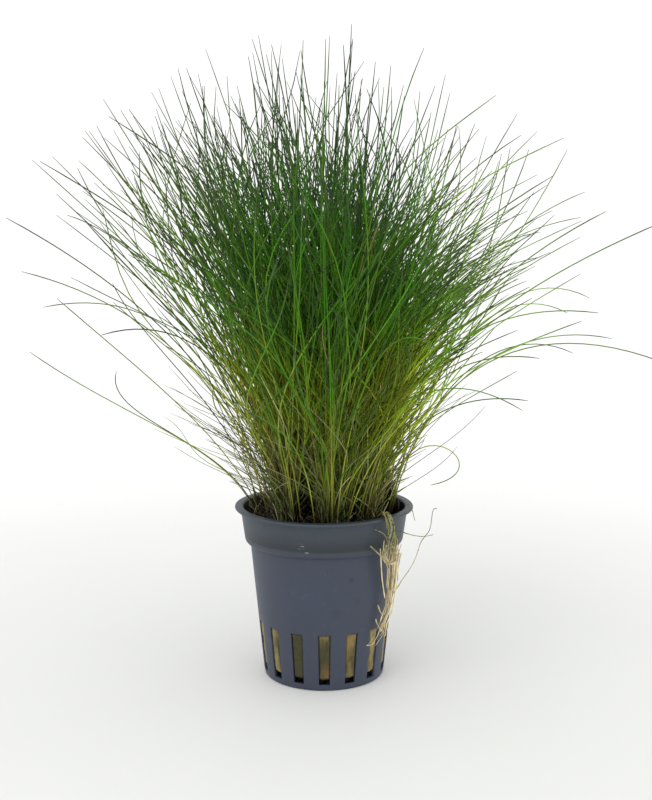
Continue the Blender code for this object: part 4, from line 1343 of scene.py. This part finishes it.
def flap_mesh():
    """The torn flap: a lumpy wad of wool that stands up inside the rim."""
    bm = bmesh.new()
    sections = []
    for i in range(FLAP_STEPS + 1):
        share = i / FLAP_STEPS
        angle = FLAP_FROM + (FLAP_TO - FLAP_FROM) * share
        rise = FLAP_END_SHARE + (1.0 - FLAP_END_SHARE) * math.sin(math.pi * share)
        height = (FLAP_HIGH.z - FLAP_LOW.z) * rise
        swell = math.sin(math.pi * min(max(share, 0.015), 0.985)) ** 0.35
        middle = 0.5 * (FLAP_INNER_RADIUS + FLAP_OUTER_RADIUS)
        ring = []
        for k in range(FLAP_AROUND):
            turn = 2.0 * math.pi * k / FLAP_AROUND
            across = math.copysign(abs(math.cos(turn)) ** 0.7, math.cos(turn))
            upright = math.copysign(abs(math.sin(turn)) ** 0.8, math.sin(turn))
            radius = middle + 0.5 * (FLAP_OUTER_RADIUS - FLAP_INNER_RADIUS) * across * swell
            z = FLAP_LOW.z + height * (0.5 + 0.5 * upright * swell)
            lump = roughness(polar(radius, angle, z), 420.0)
            point = polar(radius + 0.35 * MM * lump, angle, z + 0.9 * MM * lump * upright)
            ring.append(bm.verts.new(point))
        sections.append(ring)
    for near, far in zip(sections, sections[1:]):
        for k in range(FLAP_AROUND):
            n = (k + 1) % FLAP_AROUND
            bm.faces.new((near[k], near[n], far[n], far[k]))
    bm.faces.new(sections[0])
    bm.faces.new(list(reversed(sections[-1])))
    return finish_mesh(bm, "raised_wool", NEVER_SHARP)


def add_crumb(bm, rng, centre, size):
    """One small rough lump."""
    made = bmesh.ops.create_icosphere(bm, subdivisions=2, radius=size)
    stretch = Vector(rng.uniform(0.6, 1.3, 3))
    shift = Vector(rng.uniform(-50.0, 50.0, 3))
    for vert in made["verts"]:
        bump = 1.0 + 0.5 * noise.noise(vert.co / size * 1.4 + shift)
        vert.co = Vector(a * b for a, b in zip(vert.co, stretch)) * bump + centre


def crumb_mesh():
    """Dark crumbs of old wool and root on top of the plug and behind the slots' feet."""
    rng = np.random.default_rng(CRUMB_SEED)
    bm = bmesh.new()
    for _ in range(CRUMBS):
        radius = PLUG_REACH * math.sqrt(rng.random())
        angle = rng.uniform(0.0, 2.0 * math.pi)
        centre = polar(radius, angle, PLUG_TOP + rng.uniform(-0.1, 0.5) * MM)
        add_crumb(bm, rng, centre, rng.uniform(0.35, 1.1) * MM)
    for slot in range(SLOT_COUNT):
        for _ in range(CRUMBS_PER_SLOT):
            angle = FIRST_SLOT + 2.0 * math.pi * slot / SLOT_COUNT + rng.uniform(-0.07, 0.07)
            radius = body_radius(0.0) - WALL - rng.uniform(0.9, 1.6) * MM
            centre = polar(radius, angle, rng.uniform(1.9, 2.7) * MM)
            add_crumb(bm, rng, centre, rng.uniform(0.35, 0.6) * MM)
    return finish_mesh(bm, "crumbs", NEVER_SHARP)


def root_strands():
    """Fine roots that creep over the plug's top and hang on the raised flap."""
    rng = np.random.default_rng(ROOT_SEED)
    radius, angle = in_disc(rng, ROOTS)
    height = PLUG_TOP + rng.uniform(0.1, 0.6, ROOTS) * MM
    feet = np.column_stack((on_circle(angle, PLUG_REACH * radius), height))
    turn = rng.random(ROOTS) * 2.0 * np.pi
    lean = on_circle(turn, rng.uniform(1.2, 1.6, ROOTS))
    paths = grow(feet, lean, rng.uniform(*ROOT_LENGTHS_MM, ROOTS) * MM, 0.95,
                 scatter(rng, 0.5, ROOTS), rng.uniform(-0.3, 0.2, ROOTS), 1.0, ROOT_RINGS)
    reach = np.hypot(paths[..., 0], paths[..., 1])
    paths[..., :2] *= np.minimum(1.0, ROOT_REACH / reach)[..., None]
    radii = taper(ROOTS, ROOT_RINGS, 0.13 * MM, 0.06 * MM)
    strands = Strands(FINE_SIDES).add(paths, radii, rng.random(ROOTS) ** 2, 0.0)
    angle = rng.uniform(FLAP_FROM, FLAP_TO, FLAP_ROOTS)
    height = FLAP_HIGH.z - rng.uniform(1.0, 5.0, FLAP_ROOTS) * MM
    feet = np.column_stack((on_circle(angle, FLAP_ROOT_RADIUS), height))
    lean = scatter(rng, 1.0, FLAP_ROOTS)
    paths = grow(feet, lean, rng.uniform(*FLAP_ROOT_LENGTHS_MM, FLAP_ROOTS) * MM, 0.5,
                 scatter(rng, 1.0, FLAP_ROOTS), rng.normal(0.3, 0.5, FLAP_ROOTS), 1.0, ROOT_RINGS)
    radii = taper(FLAP_ROOTS, ROOT_RINGS, 0.14 * MM, 0.07 * MM)
    return strands.add(paths, radii, 0.4 + 0.6 * rng.random(FLAP_ROOTS), 0.0)


def outer_radius(z):
    """Radius of the pot's outermost surface at a height, lip included."""
    if z > POT_HEIGHT - 2.0 * LIP_HALF:
        return LIP_RADIUS
    if z > COLLAR_FOOT_Z:
        share = (z - COLLAR_FOOT_Z) / (POT_HEIGHT - COLLAR_FOOT_Z)
        return COLLAR_FOOT_RADIUS + (COLLAR_TOP_RADIUS - COLLAR_FOOT_RADIUS) * share
    return body_radius(z)


def runner_path(stops, count):
    """Path of a runner from its stops: right of the axis, up, and off the face of the pot."""
    points = []
    for right, up, off in stops:
        x = right * MM
        radius = outer_radius(up * MM) + off * MM
        depth = math.sqrt(max(radius * radius - x * x, (3.0 * MM) ** 2))
        points.append((x, -depth, up * MM))
    return smooth_line(points, count)


def runner_strands():
    """Straw-coloured runners with joints, a curl, split ends and side prongs."""
    rng = np.random.default_rng(RUNNER_SEED)
    strands = Strands(RUNNER_SIDES)
    for radius_mm, *stops in RUNNERS:
        rings = RINGS_PER_STOP * len(stops)
        path = runner_path(stops, rings)
        thick = radius_mm > THICK_RUNNER_MM
        for k in range(FIBRES_IN_RUNNER if thick else 1):
            wobble = np.cumsum(rng.normal(0.0, 0.02 * MM, (rings, 3)), axis=0)
            radius = radius_mm * MM
            if thick:
                radius = rng.uniform(0.10, 0.19) * MM
                side = np.linspace(rng.normal(0.0, 0.7), rng.normal(0.0, 0.7), rings)
                wave = np.linspace(0.0, rng.uniform(1.0, 2.5), rings) + rng.uniform(0.0, 6.0)
                wobble[:, 0] += (side + 0.3 * np.sin(wave)) * MM
                wobble[:, 1] -= rng.uniform(0.0, 0.5) * MM * (1.0 + np.cos(wave))
            first = int(rng.uniform(0.0, 0.3) * rings) if k else 0
            last = rings - int(rng.uniform(0.0, 0.35) * rings) if k else rings
            joints = 1.0 + 0.35 * (np.sin(np.linspace(0.4, 2.1 * len(stops), rings)) > 0.94)
            joints += NODE_SWELL * (path[:, 2] > NODE_FOOT_Z) * thick
            radii = taper(1, rings, radius, 0.7 * radius) * joints[None, :]
            strands.add((path + wobble)[None, first:last], radii[:, first:last], rng.random(1),
                        1.0 if radius > FRESH_RUNNER else 0.0)
    return strands


class HAIRGRASS_OT_pot(bpy.types.Operator):
    """Build the slotted net pot."""

    bl_idname = "hairgrass.pot"
    bl_label = "Net pot"

    def execute(self, context):
        settings = context.scene.hairgrass_pot
        show("net_pot_shell", pot_mesh(settings), pot_plastic(settings), "pot_plastic", "net_pot")
        return {"FINISHED"}


class HAIRGRASS_OT_wool(bpy.types.Operator):
    """Build the wool plug, its raised flap, the crumbs and the fine roots."""

    bl_idname = "hairgrass.wool"
    bl_label = "Wool and roots"

    def execute(self, context):
        settings = context.scene.hairgrass_wool
        dark = dark_wool(settings)
        show("rock_wool", plug_mesh(settings), rock_wool(settings), "rock_wool", "rock_wool_plug")
        show("raised_wool", flap_mesh(), dark, "dark_wool", "raised_wool_flap")
        show("wool_crumbs", crumb_mesh(), dark, "dark_wool")
        show("fine_roots", root_strands(), root_finish(), "dry_runner")
        return {"FINISHED"}


class HAIRGRASS_OT_clumps(bpy.types.Operator):
    """Grow the stems of every clump."""

    bl_idname = "hairgrass.clumps"
    bl_label = "Clumps of stems"

    def execute(self, context):
        settings = context.scene.hairgrass_grass
        finish = stem_finish(settings, "stem_green")
        for clump in range(RING_CLUMPS + 1):
            strands = clump_stems(settings, clump).add(*young_shoots(settings, clump))
            place = f"ring_{clump}" if clump else "middle"
            show(f"stems_{place}", strands, finish, "grass", f"clump_{place}")
        return {"FINISHED"}


class HAIRGRASS_OT_sheaths(bpy.types.Operator):
    """Fill the foot of the grass with old sheaths and stray stems."""

    bl_idname = "hairgrass.sheaths"
    bl_label = "Old sheaths"

    def execute(self, context):
        settings = context.scene.hairgrass_grass
        show("old_sheaths", old_sheaths(settings), sheath_finish(), "grass")
        show("stray_stems", stray_stems(settings), stray_finish(settings), "grass")
        return {"FINISHED"}


class HAIRGRASS_OT_long_stems(bpy.types.Operator):
    """Draw the outlying stems and the leaders."""

    bl_idname = "hairgrass.long_stems"
    bl_label = "Outlying stems"

    def execute(self, context):
        settings = context.scene.hairgrass_grass
        finish = stem_finish(settings, "long_stem_green")
        rng = np.random.default_rng(COMPANION_SEED)
        for side, stems in LONG_STEMS.items():
            nodes = [f"long_stem_{side}_{i + 1}" for i in range(len(stems))]
            show(f"stems_{side}", long_stems(settings, side, rng), finish, "long_stem", *nodes)
        show("stems_leading", leader_stems(settings), finish, "long_stem")
        return {"FINISHED"}


class HAIRGRASS_OT_runners(bpy.types.Operator):
    """Hang the dry runners over the rim."""

    bl_idname = "hairgrass.runners"
    bl_label = "Dry runners"

    def execute(self, context):
        settings = context.scene.hairgrass_grass
        nodes = [f"dry_runner_{i + 1}" for i in range(DRY_RUNNER_NODES)]
        show("dry_runners", runner_strands(), straw_finish(settings), "dry_runner", *nodes)
        return {"FINISHED"}


def add_floor(settings):
    """A plain pale floor that fades into the white surround."""
    bm = bmesh.new()
    bmesh.ops.create_circle(bm, cap_ends=True, segments=96, radius=FLOOR_RADIUS)
    mesh = finish_mesh(bm, "floor")
    skin = Finish("floor", Roughness=0.75)
    brighter = tuple(c * 1.04 for c in settings.floor_colour)
    skin.drive("Base Color", skin.mix(skin.noise(9.0, 3.0), settings.floor_colour, brighter))
    fade = skin.rise(skin.length(skin.place()), *FLOOR_FADE)
    clear = skin.node("ShaderNodeBsdfTransparent")
    solid = Shade(skin.tree, skin.surface.outputs[0])
    both = skin.node("ShaderNodeMixShader", inputs={0: fade, 1: solid, 2: clear})
    skin.tree.links.new(both.socket, skin.tree.nodes["Material Output"].inputs["Surface"])
    mesh.materials.append(skin.material)
    add_to_scene("floor", mesh)


def add_area_light(name, place, power):
    """A soft square light that faces the plant."""
    data = bpy.data.lights.new(name, "AREA")
    data.size = LIGHT_SIZE
    data.energy = power
    lamp = add_to_scene(name, data)
    lamp.location = place
    lamp.rotation_euler = (Vector(LIGHT_TARGET) - Vector(place)).to_track_quat("-Z", "Y").to_euler()


def add_camera(settings):
    """The camera at the photograph's angle."""
    data = bpy.data.cameras.new("camera")
    data.lens = settings.lens
    data.sensor_width = SENSOR_WIDTH_MM
    data.clip_start = CLIP_START
    camera = add_to_scene("camera", data)
    camera.location = (settings.camera_side, -settings.camera_distance, settings.camera_height)
    camera.rotation_euler = (0.5 * math.pi - settings.camera_pitch, 0.0, 0.0)
    bpy.context.scene.camera = camera


class HAIRGRASS_OT_studio(bpy.types.Operator):
    """Set the floor, the soft lights and the camera."""

    bl_idname = "hairgrass.studio"
    bl_label = "Studio"

    def execute(self, context):
        settings = context.scene.hairgrass_studio
        add_floor(settings)
        world = bpy.data.worlds.new("studio")
        world.use_nodes = True
        background = world.node_tree.nodes["Background"]
        background.inputs["Color"].default_value = (*settings.surround, 1.0)
        background.inputs["Strength"].default_value = 1.0
        context.scene.world = world
        add_area_light("key", *KEY_LIGHT)
        add_area_light("fill", *FILL_LIGHT)
        add_camera(settings)
        context.scene.view_settings.view_transform = "Standard"
        return {"FINISHED"}


class HAIRGRASS_PT_panel(bpy.types.Panel):
    """Buttons that build each group of pieces."""

    bl_idname = "HAIRGRASS_PT_panel"
    bl_label = "Dwarf hairgrass"
    bl_space_type = "VIEW_3D"
    bl_region_type = "UI"
    bl_category = "Hairgrass"

    def draw(self, context):
        for operator in OPERATORS:
            self.layout.operator(operator.bl_idname)


SETTINGS = {
    "hairgrass_pot": PotSettings,
    "hairgrass_wool": WoolSettings,
    "hairgrass_grass": GrassSettings,
    "hairgrass_studio": StudioSettings,
}
OPERATORS = (
    HAIRGRASS_OT_pot,
    HAIRGRASS_OT_wool,
    HAIRGRASS_OT_clumps,
    HAIRGRASS_OT_sheaths,
    HAIRGRASS_OT_long_stems,
    HAIRGRASS_OT_runners,
    HAIRGRASS_OT_studio,
)


def register():
    """Make the settings, the operators and the panel known to Blender."""
    for name, group in SETTINGS.items():
        bpy.utils.register_class(group)
        setattr(bpy.types.Scene, name, bpy.props.PointerProperty(type=group))
    for operator in OPERATORS:
        bpy.utils.register_class(operator)
    bpy.utils.register_class(HAIRGRASS_PT_panel)


def unregister():
    """Undo register."""
    bpy.utils.unregister_class(HAIRGRASS_PT_panel)
    for operator in reversed(OPERATORS):
        bpy.utils.unregister_class(operator)
    for name, group in SETTINGS.items():
        delattr(bpy.types.Scene, name)
        bpy.utils.unregister_class(group)


def main():
    """Build every piece in order."""
    register()
    bpy.ops.hairgrass.pot()
    bpy.ops.hairgrass.wool()
    bpy.ops.hairgrass.clumps()
    bpy.ops.hairgrass.sheaths()
    bpy.ops.hairgrass.long_stems()
    bpy.ops.hairgrass.runners()
    bpy.ops.hairgrass.studio()


if __name__ == "__main__":
    main()
